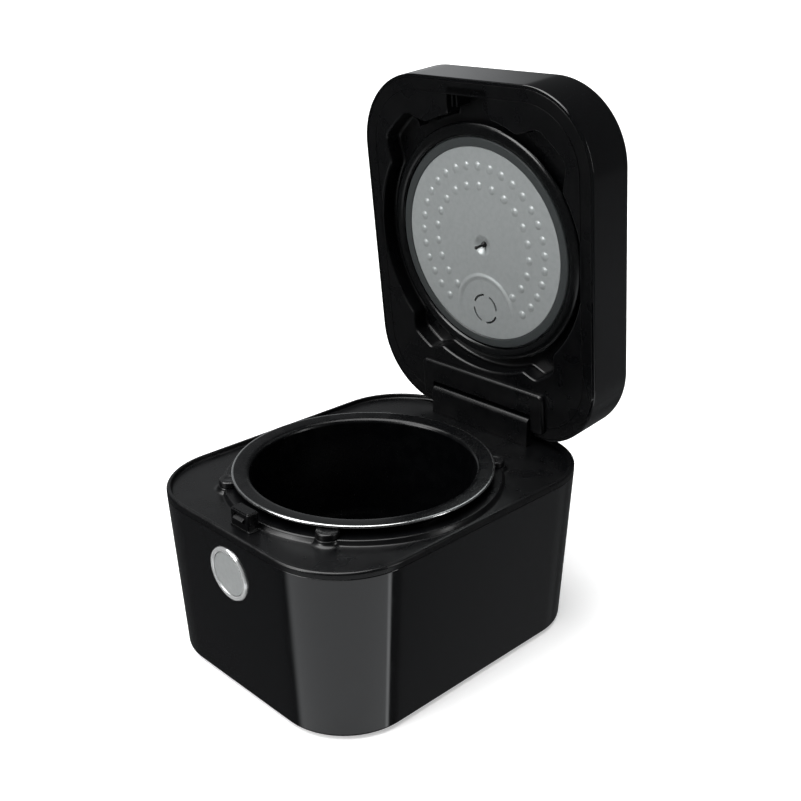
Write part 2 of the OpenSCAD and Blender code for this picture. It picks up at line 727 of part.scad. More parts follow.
module inner_pot() color(black) at_pot() rotate_extrude() difference() {
    union() {
        translate([0, pot_floor_z]) bowl_section(pot_r, pot_round, pot_top - 1 - pot_floor_z);
        polygon([[pot_r - 4, pot_top - 6], [pot_r + 1, flange_under - 0.4], [pot_flange_r - 1, flange_under],
            [pot_flange_r - 1, pot_top], [pot_r + 1, pot_top - 0.7], [pot_r - 4, pot_top - 1.6]]);
        translate([pot_flange_r - 1.2, pot_top - 1.2]) circle(1.2);
    }
    translate([0, pot_floor_z + pot_wall])
        bowl_section(pot_r - pot_wall, pot_round - pot_wall, 200);
    // Rounded mouth
    polygon([[pot_r - pot_wall - 1, pot_top], [pot_r - pot_wall - 1, pot_top - 4],
        [pot_r - pot_wall, pot_top - 3.4], [pot_r - pot_wall + 1, pot_top - 1.8], [pot_r + 1, pot_top - 0.7],
        [pot_r + 1, pot_top]]);
}

// ---------------------------------------------------------------- lid

// What lies outside the heel that swings close over the deck's rim
module heel_trim() {
    difference() {
        translate([-body_w, hinge_y, lid_z - 20]) cube([2 * body_w, 40, hinge_z - lid_z + 20]);
        along_x(-body_w, body_w) translate([hinge_y, hinge_z]) circle(heel_r);
    }
}

module lid_box() difference() {
    translate([0, 0, lid_z]) edged_block(body_w, body_d, corner_r, lid_t, lid_edge, 1);
    translate([0, 0, lid_z - 10]) edged_block(body_w - 2 * lid_wall, body_d - 2 * lid_wall,
        corner_r - lid_wall, lid_t - lid_wall + 10, lid_edge - lid_wall, 1);
}

// The part of the lid behind its seam, in Y and Z
module behind_seam(y) {
    translate([y, lid_z - 5]) square([body_d, lid_t + 10]);
    difference() {
        translate([y - seam_round, lid_top - seam_round]) square([seam_round + 1, seam_round + 5]);
        translate([y - seam_round, lid_top - seam_round]) circle(seam_round);
    }
}

module lid_shell() color(black) on_lid() difference() {
    union() {
        lid_box();
        for (a = lid_screw_angles) at_pot() rotate(a) translate([screw_ring_r, 0, floor_z + floor_t])
            cylinder(h = lid_top - 1 - floor_z - floor_t, r = 4);
    }
    along_x(-body_w, body_w) behind_seam(seam_y);
    for (a = lid_screw_angles) at_pot() rotate(a) translate([screw_ring_r, 0, 0])
        cylinder(h = floor_z + floor_t + 12, r = screw_r + 0.02);
    // Seat of the control panel, and the opening under it
    translate([0, panel_y, lid_top - panel_t]) linear_extrude(10)
        round_rect(panel_w + 2 * snug, panel_d + 2 * snug, 6);
    translate([0, panel_y, lid_top - 20]) linear_extrude(40) round_rect(panel_w - 10, panel_d - 10, 4);
    // Way through for the steam valve
    translate([0, steam_y, 0]) cylinder(h = 400, r = valve_r + 1.6 + snug);
}

module lid_rear_cover() color(black) on_lid() difference() {
    lid_box();
    along_x(-body_w, body_w) difference() {
        translate([-body_d, lid_z - 20]) square([2 * body_d, lid_t + 40]);
        behind_seam(seam_y + seam_gap);
    }
    heel_trim();
}

// Outline of the liner's recess, with its ears and its pocket for the latch
module recess_shape(grow) {
    translate([0, pot_y]) circle(recess_r + grow);
    for (e = ears) translate([0, pot_y]) rotate(e[0]) translate([e[2] / 2 + grow / 2, 0])
        round_rect(e[2] + grow, 2 * (e[1] + grow), 14 + grow);
    translate([0, (-catch_pocket[1] - grow + pot_y) / 2])
        round_rect(2 * (catch_pocket[0] + grow), catch_pocket[1] + grow + pot_y, 2 + grow);
}

module lid_liner() color(satin_black) on_lid() {
    difference() {
        union() {
            translate([0, 0, lid_z]) linear_extrude(liner_plate) outline(liner_edge);
            translate([0, 0, lid_z]) linear_extrude(recess_d + floor_t) recess_shape(recess_wall);
            // Raised border in front of the hinge
            translate([0, (lip_front + hinge_y) / 2, lid_z - lip_up / 2]) {
                linear_extrude(lip_up) round_rect(2 * lip_half, hinge_y - lip_front + 3, 3);
                translate([0, 0, -lip_up / 2]) linear_extrude(lip_up)
                    round_rect(2 * lip_half - 2.4, hinge_y - lip_front + 0.6, 2);
            }
            // Half-round housing over the hinge tower
            along_x(-pocket_half - 1.6, pocket_half + 1.6) intersection() {
                translate([hinge_y, hinge_z]) circle(pocket_r + 1.6);
                translate([0, lid_z]) square([body_d / 2 - liner_edge, lid_t]);
            }
        }
        translate([0, 0, lid_z - 1]) linear_extrude(recess_d + 1) recess_shape(0);
        translate([0, 0, lid_z - 20]) linear_extrude(20 - lip_up) square(600, center = true);
        // Fine step line round the face
        translate([0, 0, lid_z - 0.5]) linear_extrude(1.1) difference() {
            outline(liner_edge + 9);
            outline(liner_edge + 9.7);
            translate([0, lip_front + 40]) square([2 * lip_half, 80], center = true);
        }
        // Pocket that the hinge tower swings in
        along_x(-pocket_half, pocket_half) intersection() {
            translate([hinge_y, hinge_z]) circle(pocket_r);
            translate([0, lid_z - 20]) square([body_d, lid_t + 20]);
        }
        along_x(-pocket_half - 10, pocket_half + 10) translate([hinge_y, hinge_z]) circle(pin_r + 0.5);
        // The floor is open behind the heater plate
        at_pot() cylinder(h = 400, r = heater_r - 3);
        for (a = lid_screw_angles) at_pot() rotate(a) translate([screw_ring_r, 0, 0]) cylinder(h = 400, r = screw_r + 0.3);
        heel_trim();
    }
    // Ribs that split off two slots beside the catch
    for (x = [-16.4, -11.6]) translate([x - 0.8, -catch_pocket[1] - 0.5, lid_z + 1]) cube([1.6, 14, recess_d]);
    // Guide rib of the front left ear
    at_pot() rotate(ears[1][0] + 9) translate([recess_r + 1, -1.5, lid_z + 5]) cube([13, 3, recess_d - 4.5]);
}

module lid_catch() color(steel) on_lid() {
    front = -catch_pocket[1];
    translate([-9, front, nose_z - 1.8]) cube([18, latch_y - 0.4 - front, 1.5]);
    translate([-9, front, nose_z - 1.8]) cube([18, 1.3, 12]);
}

module lid_heater_plate() color(steel) on_lid() difference() {
    at_pot() translate([0, 0, heater_z]) cylinder(h = floor_z - heater_z, r = heater_r);
    at_pot() cylinder(h = 400, r = plate_pin_r + 1.8);
    translate([0, steam_y, 0]) cylinder(h = 400, r = duct_r - duct_wall);
}

module lid_heater() color(copper) on_lid() at_pot() translate([0, 0, floor_z + 2]) rotate_extrude()
    for (r = [heater_r - 5.5, heater_r - 10]) translate([r, 0]) circle(2);

module lid_sensor() color(silver) on_lid() at_pot() translate([34, -34, floor_z]) {
    cylinder(h = 2, r = 7);
    cylinder(h = 7, r = 4.5);
}

module plate_pin() color(black) on_lid() at_pot() {
    // Thin stem with a rounded knob that a finger finds when the plate is clipped on
    translate([0, 0, disc_z - 6.5]) cylinder(h = 9, r = 1.1);
    translate([0, 0, disc_z - 6.8]) sphere(1.5, $fn = 48);
    translate([0, 0, disc_z + 1.5]) cylinder(h = floor_z - disc_z - 1.5, r = plate_pin_r);
    translate([0, 0, disc_z + 0.7]) cylinder(h = 0.8, r1 = plate_pin_r - 0.7, r2 = plate_pin_r);
    translate([0, 0, floor_z]) cylinder(h = 2.5, r = plate_pin_r + 4);
}

module steam_duct() color(dark_grey) on_lid() translate([0, steam_y, 0]) difference() {
    union() {
        translate([0, 0, floor_z]) cylinder(h = lid_top - valve_deep - floor_z, r = duct_r);
        translate([0, 0, lid_top - valve_deep - 1.6]) cylinder(h = valve_deep + 1.2, r = valve_r + 1.6);
    }
    cylinder(h = 400, r = duct_r - duct_wall);
    translate([0, 0, lid_top - valve_deep]) cylinder(h = 20, r = valve_r);
}

module control_panel() color("#0d0d0f") on_lid() translate([0, panel_y, lid_top - panel_t])
    linear_extrude(panel_t) round_rect(panel_w, panel_d, 6);

module control_board() color(green) on_lid() translate([0, panel_y, 0]) {
    translate([0, 0, lid_top - panel_t - 6]) linear_extrude(1.6) round_rect(panel_w - 14, panel_d - 14, 2);
    for (sx = [-1, 1], sy = [-1, 1]) translate([sx * (panel_w / 2 - 13), sy * (panel_d / 2 - 13),
        lid_top - panel_t - 4.4]) cylinder(h = 4.4, r = 2.5);
    translate([0, 0, lid_top - panel_t - 4.4]) linear_extrude(3.4) square([52, 20], center = true);
}

module lid_screws() color(steel) on_lid() for (a = lid_screw_angles) at_pot() rotate(a)
    translate([screw_ring_r, 0, floor_z]) {
        translate([0, 0, -1.3]) cylinder(h = 1.3, r = 3);
        translate([0, 0, -0.1]) cylinder(h = 11, r = screw_r);
    }

// ---------------------------------------------------------------- inner plate

// Carries out its children at even steps on an arc that is centred on the front
module on_arc(r, count, span) {
    for (i = [0:count - 1]) rotate(-90 - span / 2 + span * i / (count - 1)) translate([r, 0, 0]) children();
}

module dimple(z) {
    rise = 1.1;
    sphere_r = (dimple_r * dimple_r + rise * rise) / (2 * rise);
    translate([0, 0, z + sphere_r - rise]) sphere(sphere_r, $fn = 48);
}

module inner_plate() color(silver) on_lid() difference() {
    at_pot() {
        rotate_extrude() polygon([[pin_hole_r, disc_z + dish_up], [dish_r * 0.55, disc_z + dish_up * 0.75],
            [dish_r, disc_z], [disc_r, disc_z], [disc_r, disc_z + disc_t], [dish_r, disc_z + disc_t],
            [dish_r * 0.55, disc_z + dish_up * 0.75 + disc_t], [pin_hole_r, disc_z + dish_up + disc_t]]);
        intersection() {
            union() {
                on_arc(disc_r - 15.3, 27, 284) dimple(disc_z);
                on_arc(disc_r - 31.3, 19, 284) dimple(disc_z);
            }
            translate([0, 0, disc_z - 3]) cylinder(h = 3 + disc_t / 2, r = disc_r);
        }
        // Arched ridge round the steam slots
        intersection() {
            translate([0, steam_back, disc_z + 0.5]) rotate_extrude() translate([2.2 * steam_ring_r, 0])
                scale([1, 1]) circle(1.9);
            translate([0, 0, disc_z - 3]) cylinder(h = 3 + disc_t / 2, r = disc_r - 1);
        }
    }
    // Four curved steam slots
    translate([0, steam_y, disc_z - 3]) linear_extrude(8) difference() {
        circle(steam_ring_r);
        circle(steam_ring_r - 1.5);
        for (a = [0, 90]) rotate(a + 10) square([60, 5.5], center = true);
    }
}

module plate_ring() color(dark_grey) on_lid() at_pot() rotate_extrude()
    polygon([[disc_r + 0.2, ring_z + 0.5], [disc_r + 0.9, ring_z], [ring_r - 0.6, ring_z], [ring_r, ring_z + 0.6],
        [ring_r, ring_flange_z], [gasket_r - 3.7, ring_flange_z], [gasket_r - 3.7, ring_back], [disc_r - 3, ring_back],
        [disc_r - 3, disc_z + disc_t], [disc_r + 0.2, disc_z + disc_t]]);

module pot_gasket() color(rubber) on_lid() at_pot() rotate_extrude() {
    bead = gasket_r - gasket_bead;
    polygon([[gasket_in, gasket_z + 2.2], [gasket_in + 0.8, gasket_z + 1.5], [bead - 3, gasket_z + 0.3],
        [bead, gasket_z], [bead, ring_flange_z], [gasket_in, ring_flange_z]]);
    translate([bead, gasket_z + gasket_bead]) circle(gasket_bead);
}

module steam_valve() color(satin_black) on_lid() translate([0, steam_y, lid_top - valve_deep + 1.2]) difference() {
    union() {
        rotate_extrude() edge_half(valve_r - 0.5, valve_deep - 1.2, 1);
        translate([0, 0, -12]) cylinder(h = 13, r = duct_r - duct_wall - 1.6);
    }
    translate([0, 0, -13]) cylinder(h = 13, r = duct_r - duct_wall - 3.4);
    // Vent slots in the cap
    for (i = [-2:2]) translate([i * 4.2 - 0.8, -8, -1]) cube([1.6, 16, 20]);
    // Ports low in the skirt
    for (a = [0, 90]) rotate(a) translate([-20, -2, -10]) cube([40, 4, 5]);
}

// Half section of a disc with a rounded top edge
module edge_half(r, h, e) {
    square([r - e, h]);
    square([r, h - e]);
    translate([r - e, h - e]) circle(e);
}

module valve_seal() color("#d9d9d4") on_lid() translate([0, steam_y, lid_top - valve_deep]) {
    difference() {
        translate([0, 0, 0.1]) cylinder(h = 1.1, r = valve_r - 2);
        translate([0, 0, -1]) cylinder(h = 4, r = duct_r - duct_wall - 1.5);
    }
}

outer_casing();
base_plate();
deck_frame();
cavity_liner();
foot_front_left();
foot_front_right();
foot_rear_left();
foot_rear_right();
pot_pad_front_left();
pot_pad_front_right();
pot_pad_rear_left();
pot_pad_rear_right();
coil_carrier();
induction_coil();
ferrite_bars();
sensor_holder();
sensor_spring();
bottom_sensor();
main_board();
heat_sink();
fan_frame();
fan_rotor();
power_inlet();
inlet_pins();
base_screws();
button_bezel();
button_sleeve();
button_spring();
release_button();
latch_housing();
latch_bracket();
latch_pin();
latch_spring();
latch_arm();
hinge_tower();
hinge_spring();
hinge_damper();
hinge_pin();
hinge_bracket_left();
hinge_bracket_right();
inner_pot();
lid_shell();
lid_rear_cover();
lid_liner();
lid_catch();
lid_heater_plate();
lid_heater();
lid_sensor();
plate_pin();
steam_duct();
control_panel();
control_board();
lid_screws();
inner_plate();
plate_ring();
pot_gasket();
steam_valve();
valve_seal();
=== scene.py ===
import json
import math

import bmesh
import bpy
from mathutils import Matrix, Vector


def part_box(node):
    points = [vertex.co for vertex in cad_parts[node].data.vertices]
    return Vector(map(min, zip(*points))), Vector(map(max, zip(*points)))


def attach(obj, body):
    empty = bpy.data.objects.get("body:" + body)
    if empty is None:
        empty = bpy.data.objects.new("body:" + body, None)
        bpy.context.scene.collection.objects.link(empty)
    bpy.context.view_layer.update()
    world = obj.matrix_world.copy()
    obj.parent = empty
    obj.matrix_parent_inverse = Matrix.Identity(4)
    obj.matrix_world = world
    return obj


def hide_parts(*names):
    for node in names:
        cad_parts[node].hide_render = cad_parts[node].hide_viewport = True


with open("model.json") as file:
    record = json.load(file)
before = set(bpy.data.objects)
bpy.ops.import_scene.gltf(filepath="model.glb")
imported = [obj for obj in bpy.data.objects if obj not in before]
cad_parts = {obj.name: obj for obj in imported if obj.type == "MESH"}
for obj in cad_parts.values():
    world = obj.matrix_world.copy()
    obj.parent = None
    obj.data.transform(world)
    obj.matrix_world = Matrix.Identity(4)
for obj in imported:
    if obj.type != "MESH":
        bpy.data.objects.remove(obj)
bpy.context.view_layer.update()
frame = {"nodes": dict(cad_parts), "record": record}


# ------------------------------------------------------------------ sizes, in millimetres

MM = 0.001


def box_mm(node):
    low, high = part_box(node)
    return [v / MM for v in low], [v / MM for v in high]


case_low, case_high = box_mm("outer_casing")
deck_low, deck_high = box_mm("deck_frame")
pot_low, pot_high = box_mm("inner_pot")
BODY_W = case_high[0] - case_low[0]
BODY_D = case_high[1] - case_low[1]
CORNER = 64.0
DRAFT = 7.0
WALL = 2.6
CASE_Z = case_low[2]
SEAM_Z = case_high[2]
RIM_Z = deck_high[2]
DECK_Z = RIM_Z - 3.6
POT_Y = (pot_low[1] + pot_high[1]) / 2
FLANGE_R = (pot_high[0] - pot_low[0]) / 2
POT_TOP = pot_high[2]
POT_LOW = pot_low[2]
POT_R = FLANGE_R - 12.8
POT_WALL = 2.0
HINGE = [joint for joint in frame["record"]["behaviour"]["joints"] if joint["name"] == "lid_hinge"][0]
HINGE_Y = HINGE["pos_m"][1] / MM
HINGE_Z = HINGE["pos_m"][2] / MM
OPEN_DEG = -HINGE["range_deg"][0]
LID_Z = RIM_Z + 1.7
LID_TOP = LID_Z + 45.5
PANEL_Y = -BODY_D / 2 + 52
STEAM_Y = POT_Y + 56
TOWER_FRONT = 16.2  # from the hinge forwards
TOWER_UP = 11.6  # from the hinge upwards
HEEL_R = 9.6  # what the lid leaves free round the hinge, below and behind it
BUTTON_HOLE_R = 19.4
DISC_Z = LID_Z + 8.7
DISC_R = 81.3
TILT = math.atan(DRAFT / (SEAM_Z - CASE_Z))
BUTTON_Z = 107.7
BUTTON_Y = -(BODY_D / 2 - DRAFT * (SEAM_Z - BUTTON_Z) / (SEAM_Z - CASE_Z))

# Carries what is drawn on the closed lid to where it stands open, in millimetres
OPEN = (Matrix.Translation((0, HINGE_Y, HINGE_Z)) @ Matrix.Rotation(-math.radians(OPEN_DEG), 4, "X")
        @ Matrix.Translation((0, -HINGE_Y, -HINGE_Z)))
AT_POT = Matrix.Translation((0, POT_Y, 0))
ON_FRONT = Matrix.Translation((0, BUTTON_Y, BUTTON_Z)) @ Matrix.Rotation(math.pi / 2 + TILT, 4, "X")


# ------------------------------------------------------------------ materials


class Shader:
    """A Principled material, with short ways to add noise to its colour, roughness and bump."""

    def __init__(self, name, color, roughness, metallic=0.0, **sockets):
        self.material = bpy.data.materials.new(name)
        self.material.use_nodes = True
        self.nodes = self.material.node_tree.nodes
        self.links = self.material.node_tree.links
        self.shader = self.nodes["Principled BSDF"]
        self.shader.inputs["Base Color"].default_value = (*color, 1)
        self.shader.inputs["Roughness"].default_value = roughness
        self.shader.inputs["Metallic"].default_value = metallic
        for key, value in sockets.items():
            self.shader.inputs[key.replace("_", " ")].default_value = value
        self.coordinates = self.nodes.new("ShaderNodeTexCoord").outputs["Object"]
        self.color = color
        self.normal = None

    def noise(self, scale, detail=3.0, stretch=(1, 1, 1), distortion=0.0):
        mapping = self.nodes.new("ShaderNodeMapping")
        mapping.inputs["Scale"].default_value = stretch
        self.links.new(self.coordinates, mapping.inputs["Vector"])
        texture = self.nodes.new("ShaderNodeTexNoise")
        texture.inputs["Scale"].default_value = scale
        texture.inputs["Detail"].default_value = detail
        texture.inputs["Distortion"].default_value = distortion
        self.links.new(mapping.outputs["Vector"], texture.inputs["Vector"])
        return texture.outputs["Fac"]

    def ramp(self, value, low, high, start, end):
        node = self.nodes.new("ShaderNodeMapRange")
        node.inputs["From Min"].default_value = start
        node.inputs["From Max"].default_value = end
        node.inputs["To Min"].default_value = low
        node.inputs["To Max"].default_value = high
        self.links.new(value, node.inputs["Value"])
        return node.outputs["Result"]

    def vary_roughness(self, scale, low, high, detail=4.0, stretch=(1, 1, 1)):
        value = self.ramp(self.noise(scale, detail, stretch), low, high, 0.35, 0.65)
        self.links.new(value, self.shader.inputs["Roughness"])
        return self

    def vary_color(self, scale, other, start=0.45, end=0.6, detail=4.0, stretch=(1, 1, 1)):
        mix = self.nodes.new("ShaderNodeMix")
        mix.data_type = "RGBA"
        mix.inputs[6].default_value = (*self.color, 1)
        mix.inputs[7].default_value = (*other, 1)
        self.links.new(self.ramp(self.noise(scale, detail, stretch), 0, 1, start, end), mix.inputs[0])
        self.links.new(mix.outputs[2], self.shader.inputs["Base Color"])
        return self

    def bump(self, scale, strength, distance, detail=2.0, stretch=(1, 1, 1)):
        return self.raise_by(self.noise(scale, detail, stretch), strength, distance)

    def raise_by(self, height, strength, distance):
        """Adds a bump on top of those already there."""
        node = self.nodes.new("ShaderNodeBump")
        node.inputs["Strength"].default_value = strength
        node.inputs["Distance"].default_value = distance
        self.links.new(height, node.inputs["Height"])
        if self.normal:
            self.links.new(self.normal, node.inputs["Normal"])
        self.normal = node.outputs["Normal"]
        self.links.new(self.normal, self.shader.inputs["Normal"])
        return self

    def rings(self, centre, pitch, strength, distance):
        """Fine turning marks round a centre, given in metres."""
        shift = self.nodes.new("ShaderNodeMapping")
        shift.inputs["Location"].default_value = [-v for v in centre]
        self.links.new(self.coordinates, shift.inputs["Vector"])
        length = self.nodes.new("ShaderNodeVectorMath")
        length.operation = "LENGTH"
        self.links.new(shift.outputs["Vector"], length.inputs[0])
        wave = self.nodes.new("ShaderNodeTexNoise")
        wave.noise_dimensions = "1D"
        wave.inputs["Scale"].default_value = 1 / pitch
        wave.inputs["Detail"].default_value = 2
        self.links.new(length.outputs["Value"], wave.inputs["W"])
        return self.raise_by(wave.outputs["Fac"], strength, distance)


def gloss(name, color=(0.0011, 0.0012, 0.0015)):
    """Polished black moulding: a hard clear skin with faint waviness and a little handling haze."""
    s = Shader(name, color, 0.07, Coat_Weight=0.35, Coat_Roughness=0.03, IOR=1.48)
    s.vary_roughness(38, 0.055, 0.12)
    return s.bump(55, 0.05, 0.00015, 1.0).material


def satin(name, color, low, high, grain=2600, strength=0.22):
    """Spark-eroded black plastic: a fine even grain, with roughness that drifts a little."""
    s = Shader(name, color, (low + high) / 2, IOR=1.47)
    s.vary_roughness(60, low, high, 1.0)
    s.vary_color(900, [c * 1.2 for c in color], 0.4, 0.8, 1.0)
    return s.bump(grain, strength, 0.00006, 2.0).material


def metal(name, color, low, high, grain=1800, strength=0.12, stretch=(1, 1, 1), metallic=1.0):
    s = Shader(name, color, (low + high) / 2, metallic)
    s.vary_roughness(220, low, high, 3.0, stretch)
    s.vary_color(300, [c * 0.93 for c in color], 0.4, 0.65, 3.0, stretch)
    return s.bump(grain, strength, 0.00005, 2.0, stretch).material


def rubber(name, color, low, high):
    s = Shader(name, color, (low + high) / 2, IOR=1.5)
    s.vary_roughness(140, low, high)
    return s.bump(1400, 0.1, 0.00005).material


def coating():
    """Non-stick coating: dark, with a fine orange-peel and tiny paler flecks."""
    s = Shader("pot_coating", (0.0008, 0.0009, 0.0012), 0.26, IOR=1.4)
    s.vary_roughness(90, 0.21, 0.31)
    s.vary_color(4200, (0.004, 0.004, 0.005), 0.68, 0.76, 1.0)
    return s.bump(600, 0.08, 0.0001, 2.0).material


def disc_silver():
    centre = OPEN @ Vector((0, POT_Y, DISC_Z)) * MM
    s = Shader("disc_silver", (0.45, 0.475, 0.475), 0.43, 0.62)
    s.vary_roughness(420, 0.4, 0.46, 4.0)
    s.vary_color(240, (0.42, 0.445, 0.445), 0.4, 0.65, 4.0)
    s.bump(2000, 0.08, 0.00005, 2.0)
    return s.rings(centre, 0.0006, 0.06, 0.00004).material


LOOKS = {
    "gloss_black": gloss("gloss_black"),
    "satin_black": satin("satin_black", (0.0011, 0.0012, 0.0015), 0.26, 0.33, 1500, 0.04),
    "inner_plastic": satin("inner_plastic", (0.02, 0.02, 0.021), 0.45, 0.55),
    "pot_coating": coating(),
    "grey_rubber": rubber("grey_rubber", (0.0028, 0.0028, 0.0032), 0.26, 0.36),
    "pale_silicone": rubber("pale_silicone", (0.55, 0.55, 0.52), 0.4, 0.5),
    "satin_silver": disc_silver(),
    "button_silver": metal("button_silver", (0.6, 0.61, 0.62), 0.24, 0.32),
    "ring_plastic": satin("ring_plastic", (0.027, 0.0305, 0.031), 0.32, 0.4, 1500, 0.05),
    "latch_plastic": satin("latch_plastic", (0.002, 0.002, 0.0024), 0.3, 0.4),
    "steel": metal("steel", (0.5, 0.51, 0.52), 0.25, 0.38, 900, 0.15, (1, 8, 8)),
    "spring_steel": metal("spring_steel", (0.42, 0.43, 0.44), 0.25, 0.35),
    "galvanised": metal("galvanised", (0.32, 0.33, 0.34), 0.35, 0.55, 300, 0.2),
    "copper_wire": metal("copper_wire", (0.5, 0.2, 0.08), 0.25, 0.35),
    "heat_plastic": satin("heat_plastic", (0.55, 0.52, 0.45), 0.5, 0.6),
    "ferrite": satin("ferrite", (0.05, 0.05, 0.055), 0.6, 0.75, 900, 0.4),
    "circuit_board": satin("circuit_board", (0.02, 0.11, 0.045), 0.3, 0.4, 800, 0.15),
    "panel_black": gloss("panel_black", (0.002, 0.002, 0.0025)),
}
ring_silver = metal("ring_silver", (0.84, 0.85, 0.85), 0.14, 0.2, metallic=0.7)
button_face = metal("button_face", (0.41, 0.425, 0.425), 0.3, 0.4, 1500, 0.18, metallic=0.5)
dark_steel = metal("dark_steel", (0.12, 0.12, 0.125), 0.35, 0.45)
rim_steel = metal("rim_steel", (0.62, 0.63, 0.63), 0.14, 0.24, 700, 0.1)
gasket_look = rubber("gasket_look", (0.0016, 0.0018, 0.002), 0.17, 0.24)

SLOT_OF = {s["node"]: s["material_slot"] for s in frame["record"]["subparts"]}

for node, obj in frame["nodes"].items():
    obj.data.materials.clear()
    obj.data.materials.append(LOOKS[SLOT_OF[node]])


# ------------------------------------------------------------------ shapes


def arc(centre, radius, start, end, count):
    """Points on an arc, in degrees, as (across, up)."""
    steps = [math.radians(start + (end - start) * i / count) for i in range(count + 1)]
    return [(centre[0] + radius * math.cos(a), centre[1] + radius * math.sin(a)) for a in steps]


def rounded(width, depth, radius, per_corner=28, per_side=14, centre=(0, 0)):
    """A rounded rectangle's points, with as many on every one of its rings."""
    corners = []
    for sx, sy, start in [(1, 1, 0), (-1, 1, 90), (-1, -1, 180), (1, -1, 270)]:
        c = (centre[0] + sx * (width / 2 - radius), centre[1] + sy * (depth / 2 - radius))
        corners.append(arc(c, radius, start, start + 90, per_corner))
    points = []
    for i, corner in enumerate(corners):
        points += corner
        a, b = Vector(corner[-1]), Vector(corners[(i + 1) % 4][0])
        points += [tuple(a.lerp(b, k / per_side)) for k in range(1, per_side)]
    return points


def loft(bm, rings, first=False, last=False):
    """Joins rings of points into a skin, and closes its first or last ring if asked."""
    rows = [[bm.verts.new(p) for p in ring] for ring in rings]
    count = len(rows[0])
    for a, b in zip(rows, rows[1:]):
        for i in range(count):
            j = (i + 1) % count
            bm.faces.new((a[i], a[j], b[j], b[i]))
    if first:
        bm.faces.new(rows[0])
    if last:
        bm.faces.new(rows[-1])
    return rows


def lathe(bm, profile, count=192, centre=(0, 0)):
    """Turns (radius, height) points round an upright axis. A radius of 0 closes the form at a point."""
    turns = [2 * math.pi * i / count for i in range(count)]
    rows = []
    for r, z in profile:
        if r == 0:
            rows.append([bm.verts.new((centre[0], centre[1], z))])
        else:
            rows.append([bm.verts.new((centre[0] + r * math.cos(a), centre[1] + r * math.sin(a), z))
                         for a in turns])
    for a, b in zip(rows, rows[1:]):
        for i in range(count):
            j = (i + 1) % count
            if len(a) == 1:
                bm.faces.new((a[0], b[j], b[i]))
            elif len(b) == 1:
                bm.faces.new((a[i], a[j], b[0]))
            else:
                bm.faces.new((a[i], a[j], b[j], b[i]))


def outline_rings(profile):
    """Rings that follow the body's outline. Each point is (how far inwards, height)."""
    return [[(x, y, z) for x, y in rounded(BODY_W - 2 * m, BODY_D - 2 * m, CORNER - m)] for m, z in profile]


def prism(bm, points, low, high, place=None):
    """An upright prism between two heights, optionally carried elsewhere by place(x, y, z)."""
    put = place or (lambda x, y, z: (x, y, z))
    loft(bm, [[put(x, y, low) for x, y in points], [put(x, y, high) for x, y in points]], True, True)


def soften(obj, width, segments, angle):
    modifier = obj.modifiers.new("soft edges", "BEVEL")
    modifier.width = width * MM
    modifier.segments = segments
    modifier.limit_method = "ANGLE"
    modifier.angle_limit = math.radians(angle)
    modifier.use_clamp_overlap = True
    modifier.harden_normals = False
    modifier.miter_outer = "MITER_ARC"


def piece_of(name, bm, look, sharp, bevel, segments=3, angle=28):
    """A smooth-shaded object from a mesh in metres. Its edges are softened by bevel, in millimetres."""
    mesh = bpy.data.meshes.new(name)
    bm.to_mesh(mesh)
    bm.free()
    mesh.shade_smooth()
    mesh.set_sharp_from_angle(angle=math.radians(sharp))
    obj = bpy.data.objects.new(name, mesh)
    bpy.context.scene.collection.objects.link(obj)
    mesh.materials.append(look)
    if bevel:
        soften(obj, bevel, segments, angle)
    weighted = obj.modifiers.new("weighted", "WEIGHTED_NORMAL")
    weighted.keep_sharp = True
    weighted.weight = 60
    return obj


def add(name, bm, look, body, nodes, place=None, angle=32, weld=True, bevel=0):
    """Makes a piece from a mesh in millimetres, and rides it on its body."""
    if weld:
        bmesh.ops.remove_doubles(bm, verts=bm.verts, dist=0.0005)
    bmesh.ops.recalc_face_normals(bm, faces=bm.faces)
    if place is not None:
        bmesh.ops.transform(bm, matrix=place, verts=bm.verts)
    bmesh.ops.scale(bm, vec=(MM, MM, MM), verts=bm.verts)
    obj = piece_of(name, bm, look, angle, bevel)
    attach(obj, body)
    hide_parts(*nodes)


def raw(bm):
    """An object from a closed mesh, still in millimetres, for a boolean."""
    bmesh.ops.recalc_face_normals(bm, faces=bm.faces)
    mesh = bpy.data.meshes.new("raw")
    bm.to_mesh(mesh)
    bm.free()
    obj = bpy.data.objects.new("raw", mesh)
    bpy.context.scene.collection.objects.link(obj)
    return obj


def cut(obj, cutter, operation="DIFFERENCE"):
    """Applies a boolean to obj, and removes the cutter."""
    modifier = obj.modifiers.new("cut", "BOOLEAN")
    modifier.operation = operation
    modifier.solver = "EXACT"
    modifier.object = cutter
    bpy.context.view_layer.update()
    result = bpy.data.meshes.new_from_object(obj.evaluated_get(bpy.context.evaluated_depsgraph_get()))
    obj.modifiers.clear()
    obj.data = result
    bpy.data.objects.remove(cutter)
    return obj


def take(obj):
    """The object's mesh as a bmesh; the object itself is removed."""
    bm = bmesh.new()
    bm.from_mesh(obj.data)
    bpy.data.objects.remove(obj)
    return bm


def polish(node, body, bevel, look=None, segments=3):
    """A CAD node's solid as a piece of its own, with its edges softened."""
    source = frame["nodes"][node]
    bm = bmesh.new()
    bm.from_mesh(source.data)
    bmesh.ops.transform(bm, matrix=source.matrix_world, verts=bm.verts)
    bmesh.ops.remove_doubles(bm, verts=bm.verts, dist=0.000004)
    bmesh.ops.dissolve_limit(bm, angle_limit=math.radians(0.6), verts=bm.verts, edges=bm.edges)
    bmesh.ops.recalc_face_normals(bm, faces=bm.faces)
    obj = piece_of(node + "_piece", bm, look or LOOKS[SLOT_OF[node]], 32, bevel, segments)
    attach(obj, body)
    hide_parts(node)


# ------------------------------------------------------------------ body

